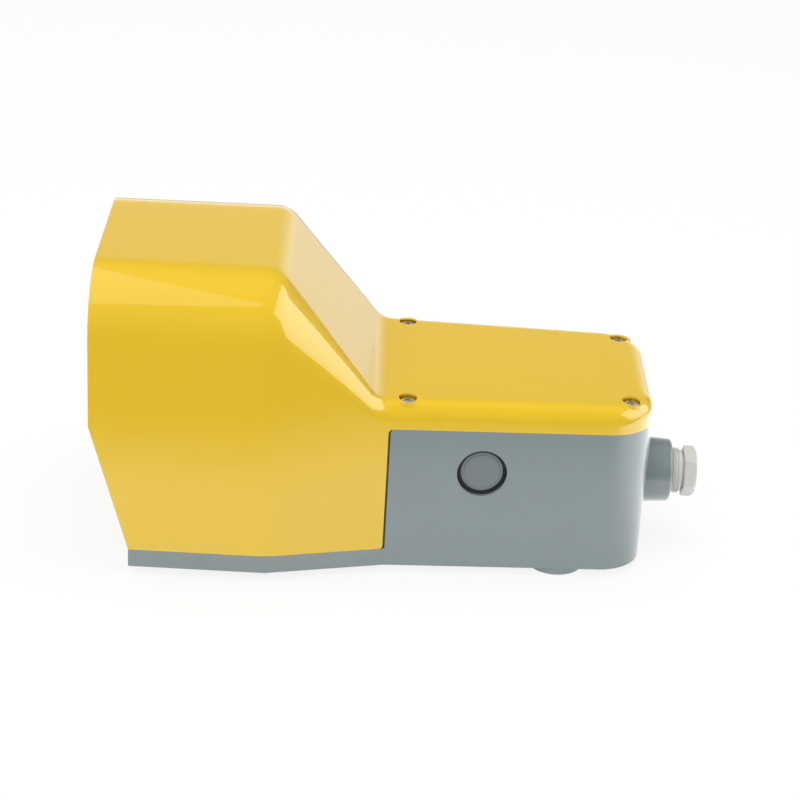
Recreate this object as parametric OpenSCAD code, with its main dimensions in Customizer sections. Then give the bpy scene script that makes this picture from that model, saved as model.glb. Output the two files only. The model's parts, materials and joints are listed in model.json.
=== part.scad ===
// Industrial foot switch with a toe hood: a moulded base with a sealed rear housing, a one-piece
// hood and cover, and a sprung pedal that pushes a rod through the housing's wall to the contacts.
// +X runs from the foot opening to the cable entry, and +Z up. The origin lies on the floor, midway
// between the four floor fixing holes. X = 0 is the neck, where the hood's skirt meets the housing.

/* [Plan outline] */
// Width of the hood at the foot opening
mouth_w = 131.5; // [124:0.5:136]
// Greatest width of the hood, at its crease
hood_w = 133.5; // [128:0.5:140]
// Width at the neck
neck_w = 106.5; // [104:0.5:112]
// Width of the housing at its rear face
tail_w = 94; // [92:0.5:100]
// Neck to the rim of the foot opening
mouth_x = 139; // [130:1:150]
// Neck to the front edge of the base
sill_x = 120.5; // [118:0.5:126]
// Neck to the hood's crease
crease_x = 56; // [50:1:62]
// Neck to the rear face
tail_x = 124.3; // [122:0.1:140]
// Radius of the rear corners in plan
tail_r = 22; // [18:1:24]

/* [Heights above the base's underside] */
// Front edge of the base
sill_h = 8.8; // [8:0.2:10]
// Joint between the housing and its cover
joint_h = 72; // [70:1:76]
// Height of the cover above its joint
cover_h = 13; // [12:0.5:16]
// Top of the hood
hood_h = 144; // [138:1:156]

/* [Hood form] */
// Neck to the ridge where the hood's roof turns down
ridge_x = 53.5; // [50:0.5:60]
// Neck to the foot of the slope
slope_x = 6.2; // [5:0.2:8]
// Rounding between the hood's roof and sides
shoulder_r = 29.5; // [24:0.5:32]
// Rounding over the ridge
ridge_r = 13; // [10:0.5:15]
// Rounding in the foot of the slope
slope_r = 10; // [8:0.5:11]
// Rounding round the top of the cover
cover_r = 8.2; // [7:0.2:9.4]
// Wall of the hood and cover
hood_t = 3; // [2.6:0.2:3.4]
// Gap between the hood's skirt and the housing
skirt_gap = 1; // [0.6:0.1:1.4]
// Radius of the skirt's rear corners, and of the housing's corner behind them
skirt_r = 1.8; // [1:0.2:3]

/* [Base housing] */
// Wall of the housing
wall_t = 3.5; // [3:0.25:4]
// Floor of the housing
floor_t = 3.5; // [3:0.25:4]
// Web and ribs under the front of the base
rib_t = 2.5; // [2:0.25:3]
// Width of the rim that holds the gasket
rim_t = 8; // [7.5:0.25:8.5]
// Width of the gasket
gasket_w = 2.4; // [2:0.1:2.6]
// Height of the gasket
gasket_h = 2.4; // [2:0.1:2.8]

/* [Feet and floor fixings] */
// Height of the feet
foot_h = 4; // [3:0.25:5]
// Diameter of the feet
foot_d = 27; // [24:0.5:28]
// Diameter of the rubber pad in each foot
pad_d = 24; // [20:0.5:24.5]
// Spacing of the floor holes along X
fix_x = 166; // [162:1:170]
// Spacing of the floor holes along Y
fix_y = 71; // [60:1:72]
// Diameter of the floor holes
fix_d = 6.5; // [5.5:0.1:7]

/* [Cover screws] */
// Neck to the front pair
screw_x1 = 7.2; // [6.8:0.2:8]
// Neck to the rear pair
screw_x2 = 112.2; // [108:0.5:113]
// Spacing of the front pair across
screw_y1 = 89; // [87:0.5:90]
// Spacing of the rear pair across
screw_y2 = 72.4; // [68:0.4:73]
// Thread diameter
screw_d = 4; // [3.5:0.1:4.2]
// Head diameter
head_d = 7.4; // [7:0.1:7.6]
// Recess diameter
recess_d = 8.6; // [8.4:0.1:9.2]
// Recess depth
recess_h = 3.6; // [3:0.2:4.4]
// Length of thread below the cover's roof
screw_l = 21; // [19:1:24]

/* [Cable entry] */
// Height of the entry's axis above the base's underside
entry_h = 31.2; // [29:0.5:34]
// Diameter of the boss at the housing
boss_d = 32.6; // [31:0.2:34]
// Diameter of the boss at its end
boss_end_d = 31; // [30:0.2:31]
// Length of the boss
boss_l = 15.6; // [13:0.2:17]
// Thread diameter of the gland screw
gland_d = 22.5; // [20:0.1:23]
// Cable bore of the gland screw
cable_d = 14.5; // [12:0.5:15]
// Length of gland screw left outside the boss
gland_out = 5.5; // [5:0.5:8]
// Width across the flats of the gland screw's head
gland_af = 22; // [21:0.5:24]
// Length of the gland screw's head
gland_head = 6.2; // [5:0.2:7]

/* [Side entries] */
// Neck to the axis of the side entries
side_x = 43.9; // [40:0.5:50]
// Drop from the cover's joint to their axis
side_drop = 21.8; // [19.8:0.2:24]
// Diameter of the hole
side_d = 23.6; // [22.6:0.2:25]
// Diameter of the blanking plug
plug_d = 20.2; // [18.6:0.2:20.6]
// Depth of the plug's face below the wall's face
plug_in = 2.1; // [1.7:0.1:2.3]

/* [Pedal] */
// Neck to the pivot
pivot_x = 13; // [12.5:0.25:14]
// Height of the pivot above the base's underside
pivot_h = 34.5; // [34:0.25:36]
// Length of the pedal ahead of the pivot
pedal_l = 101; // [96:1:103]
// Width of the pedal
pedal_w = 100; // [96:1:102]
// Thickness of the pedal's plate
pedal_t = 4; // [3.5:0.25:4.5]
// Thickness of the rubber tread
tread_t = 4; // [3:0.25:5]
// Slope of the pedal at rest
pedal_tilt = 3; // [2:0.5:4]
// Travel of the pedal
press_deg = 10; // [8:0.5:10.5]
// Diameter of the pivot pin
pin_d = 6; // [5:0.25:6.5]
// Inside spacing of the pin's ears
ear_in = 80; // [78:0.5:82]
// Thickness of the ears
ear_t = 6; // [5:0.25:6.5]
// Drop from the pivot to the push rod
lug_drop = 17; // [16.5:0.25:17.5]

/* [Return spring] */
// Pivot to the spring's axis
spring_x = 52; // [48:1:58]
// Mean diameter of the spring
spring_d = 15; // [13:0.5:16]
// Wire diameter
wire_d = 1.8; // [1.4:0.1:2]
// Number of turns
spring_n = 7; // [6:1:8]

/* [Contact block] */
// Diameter of the push rod
rod_d = 8; // [7:0.25:8.5]
// Neck to the front of the block
block_x = 20; // [19:0.5:21]
// Length of the block
block_l = 41; // [40:0.5:44]
// Width of the block without its terminal ledges
block_w = 30; // [29:0.5:31]
// Width over the terminal ledges
ledge_w = 48; // [46:0.5:50]
// Diameter of the plunger
plunger_d = 5; // [4.5:0.25:5.5]

/* [Hidden] */

$fn = 64;
eps = 0.01;
over = 1;             // how far a cut runs past a face
seat = 0.1;           // clearance of a piece in its seat
run = 0.05;           // radial clearance of a running fit
air = 0.3;            // gap between pieces that meet in use
seam = 0.05;          // joint between two mouldings
thread_gap = 0.1;     // radial clearance of a thread in its hole
arc_n = 12;           // steps in the arc of a rear corner
loft_n = 12;          // steps in each rounding of the hood

hood_grey = [0.49, 0.54, 0.54];
yellow = [0.96, 0.77, 0.12];
steel = [0.72, 0.73, 0.74];
dark = [0.16, 0.17, 0.18];
rubber = [0.08, 0.08, 0.08];

// Absolute heights
sill_z = foot_h + sill_h;
joint_z = foot_h + joint_h;
cover_z = joint_z + cover_h;
hood_z = foot_h + hood_h;
floor_z = foot_h + floor_t;
entry_z = foot_h + entry_h;
side_z = joint_z - side_drop;
pivot_z = foot_h + pivot_h;
rod_z = pivot_z - lug_drop;

// Half width of the outline at x, less an inset
function half_w(x, inset = 0) =
    lookup(x, [[-mouth_x, mouth_w / 2], [-crease_x, hood_w / 2], [0, neck_w / 2], [tail_x, tail_w / 2]])
    - inset;

// The housing's sides close in towards the rear face by this angle
taper = atan((neck_w - tail_w) / 2 / tail_x);
corner_x = tail_x - tail_r;
corner_y = neck_w / 2 - corner_x * tan(taper) - tail_r / cos(taper);

// One half of the housing's outline from x0 to the rear face, moved in by inset
function tail_half(x0, inset) = concat(
    [[x0, half_w(x0) - inset / cos(taper)]],
    [for (i = [0:arc_n]) let (a = (90 - taper) * (1 - i / arc_n))
        [corner_x + (tail_r - inset) * cos(a), corner_y + (tail_r - inset) * sin(a)]]
);

// The same outline closed by its mirror image
function closed(half) = concat(half, [for (i = [len(half) - 1:-1:0]) [half[i].x, -half[i].y]]);

module tail_plan(x0 = 0, inset = 0) polygon(closed(tail_half(x0, inset)));

// Outline of the base ahead of the neck, moved in by inset
module sill_plan(inset = 0, x1 = 0)
    polygon(closed([
        [-sill_x + inset, half_w(-sill_x, inset)],
        [-crease_x, half_w(-crease_x, inset)],
        [x1, half_w(x1, inset)]
    ]));

// Side profile of the hood, as its height at x for a surface moved in by inset
fall = atan((hood_z - cover_z) / (ridge_x - slope_x));
ridge_c = [-ridge_x - ridge_r * tan(fall / 2), hood_z - ridge_r];
slope_c = [-slope_x + slope_r * tan(fall / 2), cover_z + slope_r];

function top_z(x, inset = 0) =
    let (
        r1 = ridge_r - inset,
        r2 = slope_r + inset,
        line_x = ridge_c.x + r1 * sin(fall),
        line_z = ridge_c.y + r1 * cos(fall)
    )
    x <= ridge_c.x ? hood_z - inset :
    x <= line_x ? ridge_c.y + sqrt(r1 * r1 - (x - ridge_c.x) * (x - ridge_c.x)) :
    x <= slope_c.x - r2 * sin(fall) ? line_z - (x - line_x) * tan(fall) :
    x < slope_c.x ? slope_c.y - sqrt(r2 * r2 - (x - slope_c.x) * (x - slope_c.x)) :
    cover_z - inset;

// Rounding between roof and sides at x
function shoulder(x, inset = 0) =
    lookup(x, [[-ridge_x, shoulder_r], [-slope_x, cover_r]]) - inset;

// Stations along the hood: both ends, the crease, and each arc of the side profile
function stations(x0, x1, inset) =
    let (
        ridge = [for (i = [0:loft_n]) ridge_c.x + (ridge_r - inset) * sin(fall * i / loft_n)],
        foot = [for (i = [loft_n:-1:0]) slope_c.x - (slope_r + inset) * sin(fall * i / loft_n)]
    )
    concat(
        [x0],
        [for (x = ridge) if (x < -crease_x - 0.4) x],
        [-crease_x],
        [for (x = ridge) if (x > -crease_x + 0.4) x],
        [for (x = foot) if (x < x1 - 0.2) x],
        [x1]
    );

// Arch across the hood at x, from z0 up one side, over the roof and down the other
function arch(x, z0, inset) =
    let (w = half_w(x, inset), z = top_z(x, inset), r = shoulder(x, inset))
    concat(
        [[x, -w, z0]],
        [for (i = [0:loft_n]) let (a = 180 - 90 * i / loft_n)
            [x, -w + r + r * cos(a), z - r + r * sin(a)]],
        [for (i = [0:loft_n]) let (a = 90 - 90 * i / loft_n)
            [x, w - r + r * cos(a), z - r + r * sin(a)]],
        [[x, w, z0]]
    );

// Solid between x0 and x1 whose sections are the arches
module hood_form(x0, x1, z0, inset = 0) {
    xs = stations(x0, x1, inset);
    n = 2 * (loft_n + 1) + 2;
    m = len(xs);
    points = [for (x = xs) each arch(x, z0, inset)];
    walls = [for (s = [0:m - 2], i = [0:n - 1]) let (
            a = s * n + i, b = s * n + (i + 1) % n, c = a + n, d = b + n)
        each [[a, b, c], [b, d, c]]];
    front = [for (i = [1:n - 2]) [0, i + 1, i]];
    back = [for (i = [1:n - 2]) [(m - 1) * n, (m - 1) * n + i, (m - 1) * n + i + 1]];
    polyhedron(points = points, faces = concat(walls, front, back), convexity = 4);
}

// A disc with a rounded top edge, for the corners of the cover
module round_disc(r, edge, h) {
    rotate_extrude() {
        square([r - edge, h]);
        square([r, h - edge]);
        translate([r - edge, h - edge]) intersection() {
            circle(r = edge, $fn = 32);
            square(edge);
        }
    }
}

// The cover's form behind the neck, from z0 up, moved in by inset
module cover_form(x0, z0, inset = 0) {
    z1 = cover_z - inset;
    edge = cover_r - inset;
    w = half_w(x0) - inset / cos(taper);
    hull() {
        for (s = [-1, 1]) {
            translate([corner_x, s * corner_y, z0]) round_disc(tail_r - inset, edge, z1 - z0, $fn = 64);
            translate([x0, s * (w - edge), z1 - edge]) rotate([0, 90, 0])
                cylinder(r = edge, h = 1, $fn = 32);
            translate([x0, s * (w - edge) - edge, z0]) cube([1, 2 * edge, 1]);
        }
    }
}

// What an arc of radius r leaves of the corner at the origin, whose sides run to -X and +Y
module corner_waste(r) difference() {
    translate([-r, -over]) square(r + over);
    translate([-r, r]) circle(r = r);
}

// Side view cut that shapes the rim of the foot opening and the skirt's rear edge
module skirt_cut() {
    far = mouth_x + 20;
    rotate([90, 0, 0]) linear_extrude(height = 2 * hood_w, center = true) {
        polygon([[-mouth_x, joint_z], [-sill_x, sill_z], [-sill_x, -over], [-far, -over], [-far, joint_z]]);
        translate([-skirt_gap, 0]) difference() {
            square([tail_x, joint_z]);
            translate([0, joint_z]) rotate(180) corner_waste(skirt_r);
        }
        translate([-skirt_gap, sill_z + seam]) corner_waste(skirt_r);
    }
}

module at_cover_screws()
    for (s = [-1, 1]) {
        translate([screw_x1, s * screw_y1 / 2, 0]) children();
        translate([screw_x2, s * screw_y2 / 2, 0]) children();
    }

module at_feet()
    for (sx = [-1, 1], sy = [-1, 1]) translate([sx * fix_x / 2, sy * fix_y / 2, 0]) children();

// Screws that hold the skirt come up through the base on each side
skirt_screw_x = [-104, -30];
skirt_screw_in = 9;
skirt_post_h = 15;
post_d = 8;
module at_skirt_screws()
    for (x = skirt_screw_x, s = [-1, 1]) translate([x, s * half_w(x, skirt_screw_in), 0]) children();

module at_entry() translate([tail_x, 0, entry_z]) rotate([0, 90, 0]) children();

// Side entries: local +Z points out of the wall
module at_sides()
    for (s = [-1, 1])
        translate([side_x, s * half_w(side_x), side_z]) rotate([0, 0, -s * taper]) rotate([-s * 90, 0, 0])
            children();

module ring(r1, r0, h) difference() {
    cylinder(r = r1, h = h);
    translate([0, 0, -over]) cylinder(r = r0, h = h + 2 * over);
}

// ---------------------------------------------------------------- base housing

deep = 80;                     // depth of a cut that only has to run out
entry_in = 9;                  // how far the entry's boss runs into the housing
gland_hole_d = gland_d + 2 * thread_gap;
pillar_d = 11;
insert_d = 5.6;
insert_l = 9;
insert_drop = 6;               // joint to the top of the screw's insert
screw_room = 8;                // room for the screw's tip below its insert
foot_boss_d = fix_d + 8;
foot_boss_h = 5;
foot_wall = 1.5;               // wall round each foot, under the web
side_boss_d = side_d + 7;
side_boss_in = 3;
pad_show = 0.6;                // how far the pad stands out of its foot
rim_h = 6;
lip_h = 4;
ear_r = 9;
block_z = rod_z - 9;           // underside of the contact block
block_boss_d = 9;
spring_seat_h = 3;
spring_out_d = spring_d + wire_d + 6;
spring_in_d = spring_d + wire_d + 1.2;
stop_x = 87;                   // pivot to the bump stops
stop_y = 30;
stop_d = 15;
stop_cup_d = stop_d + 3;
stop_cup_h = 6;
stop_in = 2;                   // how deep a bump stop sits in its cup
groove_in = (rim_t - gasket_w) / 2;
rib_pitch = 22;
rib_rows = 2;                  // rows of ribs on each side of the middle
skirt_boss_d = 12;

// Half widths of the ring that holds the gasket, from the outside in
module rim_band(i0, i1, h) linear_extrude(height = h) difference() {
    tail_plan(i0, i0);
    tail_plan(i1, i1);
}

module front_web() {
    translate([0, 0, foot_h]) linear_extrude(height = sill_h) sill_plan();
}

module front_pocket() {
    web_z = sill_z - rib_t - foot_h;
    translate([0, 0, foot_h - over]) linear_extrude(height = web_z + over) difference() {
        sill_plan(rib_t, -wall_t);
        for (x = [-mouth_x:rib_pitch:0]) translate([x - rib_t / 2, -hood_w / 2]) square([rib_t, hood_w]);
        for (i = [-rib_rows:rib_rows])
            translate([-mouth_x, i * rib_pitch - rib_t / 2]) square([mouth_x, rib_t]);
        for (s = [-1, 1]) translate([-fix_x / 2, s * fix_y / 2]) circle(d = foot_d + 2 * foot_wall);
        for (x = skirt_screw_x, s = [-1, 1])
            translate([x, s * half_w(x, skirt_screw_in)]) circle(d = skirt_boss_d);
    }
}

module ears() {
    for (s = [-1, 1]) translate([0, s * (ear_in / 2 + ear_t / 2), 0]) rotate([90, 0, 0])
        linear_extrude(height = ear_t, center = true) difference() {
            union() {
                translate([-pivot_x, pivot_z]) circle(r = ear_r);
                translate([-pivot_x - ear_r, sill_z - eps])
                    square([ear_r + pivot_x + eps, pivot_z - sill_z]);
            }
            translate([-pivot_x, pivot_z]) circle(d = pin_d + 2 * seat);
        }
}

// Ribs at the front corners of the housing that close the gap behind the skirt
lap_l = 8;
lap_t = 2.5;
lap_drop = 2;                  // cover's joint to the top of the ribs
module lap_ribs() {
    for (s = [-1, 1]) translate([0, 0, sill_z - eps]) linear_extrude(height = joint_z - sill_z - lap_drop)
        polygon([
            [eps, s * half_w(0, hood_t + air)], [-lap_l, s * half_w(-lap_l, hood_t + air)],
            [-lap_l, s * half_w(-lap_l, hood_t + air + lap_t)], [eps, s * half_w(0, hood_t + air + lap_t)]
        ]);
}

shelf_z = pivot_z + 2;         // shelf under the rest buffer
shelf_l = 6;
shelf_w = 34;
shelf_t = 2;
module rest_shelf() {
    translate([0, 0, shelf_z]) rotate([90, 0, 0]) linear_extrude(height = shelf_w, center = true)
        polygon([[eps, 0], [-shelf_l, 0], [-shelf_l, -shelf_t], [eps, -shelf_l - shelf_t]]);
}

module base_housing() {
    color(hood_grey) difference() {
        union() {
            difference() {
                union() {
                    front_web();
                    translate([0, 0, foot_h]) linear_extrude(height = joint_h) tail_plan();
                }
                translate([0, 0, floor_z]) linear_extrude(height = joint_h) tail_plan(wall_t, wall_t);
                front_pocket();
            }
            // rim that carries the gasket
            translate([0, 0, joint_z - rim_h]) rim_band(wall_t - 0.5, rim_t, rim_h);
            // locating lip inside the skirt
            translate([0, 0, sill_z - eps]) linear_extrude(height = lip_h) difference() {
                sill_plan(hood_t + air, -lap_l);
                translate([-over, 0]) sill_plan(hood_t + air + lap_t, -lap_l + 2 * over);
                for (x = skirt_screw_x) translate([x - post_d / 2 - air, -hood_w / 2])
                    square([post_d + 2 * air, hood_w]);
            }
            lap_ribs();
            ears();
            rest_shelf();
            at_entry() boss();
            at_sides() translate([0, 0, -wall_t - side_boss_in])
                cylinder(d = side_boss_d, h = side_boss_in + over);
            // pillars for the cover's screws
            at_cover_screws() translate([0, 0, floor_z - eps])
                cylinder(d = pillar_d, h = joint_z - floor_z);
            // feet
            at_feet() {
                translate([0, 0, pad_show]) cylinder(d = foot_d, h = foot_h - pad_show + over);
                translate([0, 0, floor_z - over]) cylinder(d = foot_boss_d, h = foot_boss_h + over);
            }
            // seats for the spring, the bump stops and the contact block
            translate([-pivot_x - spring_x, 0, sill_z - eps]) difference() {
                cylinder(d = spring_out_d, h = spring_seat_h);
                translate([0, 0, eps]) cylinder(d = spring_in_d, h = spring_seat_h + over);
            }
            for (s = [-1, 1]) translate([-pivot_x - stop_x, s * stop_y, sill_z - eps])
                cylinder(d = stop_cup_d, h = stop_cup_h);
            at_block_screws() translate([0, 0, floor_z - eps])
                cylinder(d = block_boss_d, h = block_z - floor_z);
        }
        // cuts that run through what was added
        at_feet() {
            translate([0, 0, -over]) cylinder(d = pad_d + 2 * seat, h = over + foot_h);
            translate([0, 0, -over]) cylinder(d = fix_d, h = deep);
        }
        translate([0, 0, joint_z - gasket_h - tongue_h])
            rim_band(groove_in, groove_in + gasket_w + 2 * seat, deep);
        at_cover_screws() translate([0, 0, joint_z - insert_l - insert_drop]) {
            cylinder(d = insert_d + 2 * seat, h = deep);
            translate([0, 0, -screw_room]) cylinder(d = screw_d + 2 * screw_air, h = deep);
        }
        at_entry() translate([0, 0, -wall_t - entry_in - over]) cylinder(d = gland_hole_d, h = deep);
        at_sides() translate([0, 0, -wall_t - side_boss_in - over]) {
            cylinder(d = plug_hole_d, h = deep);
            translate([0, 0, wall_t + side_boss_in + over - plug_in - plug_flange])
                cylinder(d = side_d, h = deep);
        }
        at_skirt_screws() {
            translate([0, 0, -over]) cylinder(d = screw_d + 2 * screw_air, h = sill_z + lip_h);
            translate([0, 0, foot_h - over]) cylinder(d = recess_d, h = over + skirt_recess_h);
        }
        for (s = [-1, 1]) translate([-pivot_x - stop_x, s * stop_y, sill_z + stop_cup_h - stop_in])
            cylinder(d = stop_d + 2 * seat, h = stop_in + over);
        along_rod(-over) cylinder(d = bush_d + 2 * seat, h = wall_t + 2 * over);
        at_block_screws() translate([0, 0, block_screw_z])
            cylinder(d = block_screw_d + 2 * thread_gap, h = deep);
        // upper front corner, beside the inside corner of the cover
        rotate([90, 0, 0]) linear_extrude(height = neck_w + 2 * over, center = true)
            translate([0, joint_z]) rotate(180) corner_waste(skirt_r);
    }
}

boss_edge = 2.2;               // length of the rounding at the boss's end
boss_n = 8;                    // steps in that rounding
boss_wall = 3;                 // wall of the boss inside the housing
// Tapered boss for the cable entry, rounded off towards its hole
module boss() {
    hole_r = gland_hole_d / 2;
    rotate_extrude() polygon(concat(
        [
            [0, -wall_t - entry_in], [hole_r + boss_wall, -wall_t - entry_in], [hole_r + boss_wall, -over],
            [boss_d / 2, -over]
        ],
        [for (i = [0:boss_n]) let (a = 90 * i / boss_n)
            [hole_r + (boss_end_d / 2 - hole_r) * cos(a), boss_l - boss_edge * (1 - sin(a))]],
        [[0, boss_l]]
    ));
}

// ---------------------------------------------------------------- feet

module foot_pads() color(rubber) at_feet() ring(pad_d / 2, fix_d / 2, foot_h - seat);

// ---------------------------------------------------------------- hood and cover

tongue_h = 0.8;
head_h = 2.6;
screw_air = 0.3;               // radial clearance of a screw in a plain hole
skirt_recess_h = head_h + 0.6;
cover_post_d = 12;
lap_in = 4;                    // how far the cover's form runs into the hood

module hood_cover() {
    color(yellow) difference() {
        union() {
            difference() {
                union() {
                    hood_form(-mouth_x, 0, sill_z + seam);
                    cover_form(-lap_in, joint_z + seam);
                }
                hood_form(-mouth_x - over, -hood_t, -over, hood_t);
                cover_form(hood_t, joint_z - over, hood_t);
                skirt_cut();
                // way through to the housing's front wall, below the cover
                linear_extrude(height = joint_z) polygon(closed([
                    [-hood_t - over, half_w(-hood_t - over, hood_t - seat)], [over, half_w(0, hood_t - seat)]
                ]));
            }
            // tongue that presses on the gasket
            translate([0, 0, joint_z - tongue_h])
                rim_band(groove_in + 2 * seat, groove_in + gasket_w - 2 * seat, cover_h - cover_r);
            // posts round the cover's screws
            at_cover_screws() translate([0, 0, joint_z + seam])
                cylinder(d = cover_post_d, h = cover_h - hood_t + over);
            // posts for the screws that come up through the base
            at_skirt_screws() translate([0, 0, sill_z + seam]) cylinder(d = post_d, h = skirt_post_h);
            for (x = skirt_screw_x, s = [-1, 1])
                translate([
                    x - rib_t / 2, s > 0 ? half_w(x, skirt_screw_in) : -half_w(x, hood_t / 2), sill_z + seam
                ])
                    cube([rib_t, skirt_screw_in - hood_t / 2, skirt_post_h]);
        }
        at_cover_screws() {
            cylinder(d = screw_d + 2 * screw_air, h = cover_z + over);
            translate([0, 0, cover_z - recess_h]) cylinder(d = recess_d, h = recess_h + over);
        }
        at_skirt_screws() translate([0, 0, sill_z - over])
            cylinder(d = screw_d + 2 * thread_gap, h = skirt_post_h - hood_t);
    }
}

module cover_gasket() {
    color(rubber) translate([0, 0, joint_z - gasket_h - tongue_h + seat])
        rim_band(groove_in + seat, groove_in + gasket_w, gasket_h - 2 * seat);
}

// Pan head screw pointing down from z = 0 under its head, with a cross recess
module pan_screw(d, l, head, h) {
    cross_l = head * 0.6;
    cross_t = head * 0.12;
    difference() {
        union() {
            translate([0, 0, -l]) cylinder(d = d, h = l + eps);
            rotate_extrude() intersection() {
                square([head / 2, h]);
                translate([0, h - head]) circle(r = head, $fn = 96);
            }
        }
        for (a = [0, 90]) rotate([0, 0, a]) translate([-cross_l / 2, -cross_t / 2, h * 0.45])
            cube([cross_l, cross_t, h]);
    }
}

module cover_screws()
    color(steel) at_cover_screws() translate([0, 0, cover_z - recess_h])
        pan_screw(screw_d, screw_l - recess_h, head_d, head_h);

module cover_inserts()
    color("goldenrod") at_cover_screws() translate([0, 0, joint_z - insert_l - insert_drop + eps])
        ring(insert_d / 2, screw_d / 2 + thread_gap, insert_l);

skirt_screw_end = 4.4;         // tip of each screw to the top of its post
module hood_screws()
    color(steel) at_skirt_screws() translate([0, 0, foot_h + skirt_recess_h]) mirror([0, 0, 1])
        pan_screw(screw_d, sill_h + skirt_post_h - skirt_recess_h - skirt_screw_end, head_d, head_h);

// ---------------------------------------------------------------- side entries

plug_hole_d = plug_d - 3;
plug_flange = 1.6;
plug_stem = 9;
plug_step_d = plug_d - 2.8;
plug_step_h = 0.4;
module side_plugs() {
    color(hood_grey) at_sides() translate([0, 0, -plug_in - plug_flange]) {
        cylinder(d = plug_d, h = plug_flange - plug_step_h);
        cylinder(d = plug_step_d, h = plug_flange);
        translate([0, 0, -plug_stem]) cylinder(d = plug_hole_d - 0.6, h = plug_stem + eps);
    }
}

module side_plug_seals()
    color(rubber) at_sides() translate([0, 0, -plug_in - plug_flange + 0.02])
        ring(side_d / 2 - seat, plug_d / 2 + seat, plug_flange - plug_step_h + seat);

nut_h = 3;
nut_d = plug_hole_d + 8;       // across its corners
module side_plug_nuts()
    color(steel) at_sides() translate([0, 0, -wall_t - side_boss_in - nut_h - seat]) difference() {
        cylinder(d = nut_d, h = nut_h, $fn = 6);
        translate([0, 0, -over]) cylinder(d = plug_hole_d - 0.4, h = nut_h + 2 * over);
    }

// ---------------------------------------------------------------- cable gland

gland_in = 10;
gland_chamfer = 1.2;
gland_pitch = 1.4;
head_turn = 42;                // how the hexagon happens to stand
thread_depth = 0.8;
gland_neck = 1.2;               // plain stretch between thread and head
module gland_screw() {
    core_r = gland_d / 2 - thread_depth;
    turns = floor((gland_in + gland_out - gland_neck) / gland_pitch);
    color([0.82, 0.82, 0.80]) at_entry() translate([0, 0, boss_l]) difference() {
        union() {
            // threaded shank, its ridges as stacked rings
            rotate_extrude() polygon(concat(
                [[cable_d / 2 - eps, -gland_in]],
                [for (i = [0:turns - 1]) each [
                    [core_r, -gland_in + i * gland_pitch],
                    [gland_d / 2, -gland_in + (i + 0.5) * gland_pitch]
                ]],
                [[core_r, -gland_in + turns * gland_pitch], [core_r, gland_out + eps],
                 [cable_d / 2 - eps, gland_out + eps]]
            ));
            translate([0, 0, gland_out]) intersection() {
                rotate([0, 0, head_turn]) cylinder(d = gland_af / cos(30), h = gland_head, $fn = 6);
                rotate_extrude() polygon([
                    [0, 0], [gland_af, 0], [gland_af, gland_head - 3 * gland_chamfer],
                    [gland_af / 2, gland_head], [0, gland_head]
                ]);
            }
        }
        translate([0, 0, -gland_in - over])
            cylinder(d = cable_d, h = gland_in + gland_out + gland_head + 2 * over);
    }
}

seal_l = 9;
washer_t = 1.2;
module gland_washer()
    color(steel) at_entry() translate([0, 0, boss_l - gland_in - washer_t - seat])
        ring(gland_d / 2 - 0.4, cable_d / 2 + 0.2, washer_t);

module gland_seal()
    color(rubber) at_entry() translate([0, 0, boss_l - gland_in - washer_t - 2 * seat - seal_l])
        ring(gland_d / 2 - 0.3, cable_d / 2, seal_l);

// ---------------------------------------------------------------- pedal

clip_t = 1;
clip_ring = 3;                 // width of a clip round its shaft
clip_slot = 3.2;
clip_grip = 0.05;              // radial clearance of a clip in its groove
pin_over = 1.4;                // pin outside its clips
pin_tip = 0.6;                 // chamfer at its ends
pin_l = ear_in + 2 * (ear_t + air + clip_t + pin_over);
module at_pivot() translate([-pivot_x, 0, pivot_z]) rotate([90, 0, 0]) children();

module pivot_pin() {
    color(steel) at_pivot() rotate_extrude() polygon([
        [0, -pin_l / 2], [pin_d / 2 - pin_tip, -pin_l / 2], [pin_d / 2, -pin_l / 2 + pin_tip],
        [pin_d / 2, pin_l / 2 - pin_tip], [pin_d / 2 - pin_tip, pin_l / 2], [0, pin_l / 2]
    ]);
}

module pin_clips()
    color(steel) at_pivot() for (s = [-1, 1])
        translate([0, 0, s * (ear_in / 2 + ear_t + air / 2 + clip_t / 2) - clip_t / 2]) difference() {
            cylinder(r = pin_d / 2 + clip_ring, h = clip_t);
            translate([0, 0, -over]) cylinder(r = pin_d / 2 + clip_grip, h = clip_t + 2 * over);
            translate([-clip_slot / 2, 0, -over]) cube([clip_slot, pin_d + clip_ring, clip_t + 2 * over]);
        }

bush_wall = 2.4;
hub_wall = 3.2;
hub_l = 12;
bush_flange = 1.6;
bush_ring = 2;                 // width of the flange round the bush
bush_out = ear_in / 2 - 2 * seat;
hub_out = bush_out - bush_flange;
module at_hubs()
    for (s = [-1, 1]) translate([-pivot_x, s * hub_out, pivot_z]) rotate([s * 90, 0, 0]) children();

module pedal_bushes()
    color([0.85, 0.82, 0.70]) at_hubs() difference() {
        union() {
            translate([0, 0, -over]) cylinder(d = pin_d + 2 * bush_wall, h = hub_l + over);
            translate([0, 0, -bush_flange])
                cylinder(d = pin_d + 2 * (bush_wall + bush_ring), h = bush_flange - seam);
        }
        translate([0, 0, -bush_flange - over])
            cylinder(d = pin_d + 2 * run, h = hub_l + bush_flange + 2 * over);
    }

plate_off = ear_r + 1;          // from the pivot to the plate's underside
tail_l = 11;                    // plate behind the pivot
tail_in = 4;                    // how much narrower each side is there
plate_r = 12;
flange_h = 12;
flange_t = 3;
pedal_rib_h = 7;
stop_pad_h = 9;                 // pads over the bump stops
skirt_start = 16;               // pivot to the rear end of the pedal's side flanges
nose_r = 4;
rod_head_d = 11;
rod_head_t = 2.7;
lug_w = 18;
access_d = 13;
// Pedal frame: origin at the pivot, with +X towards the tail and +Z normal to the plate
module in_pedal() translate([-pivot_x, 0, pivot_z]) rotate([0, pedal_tilt, 0]) children();

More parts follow.
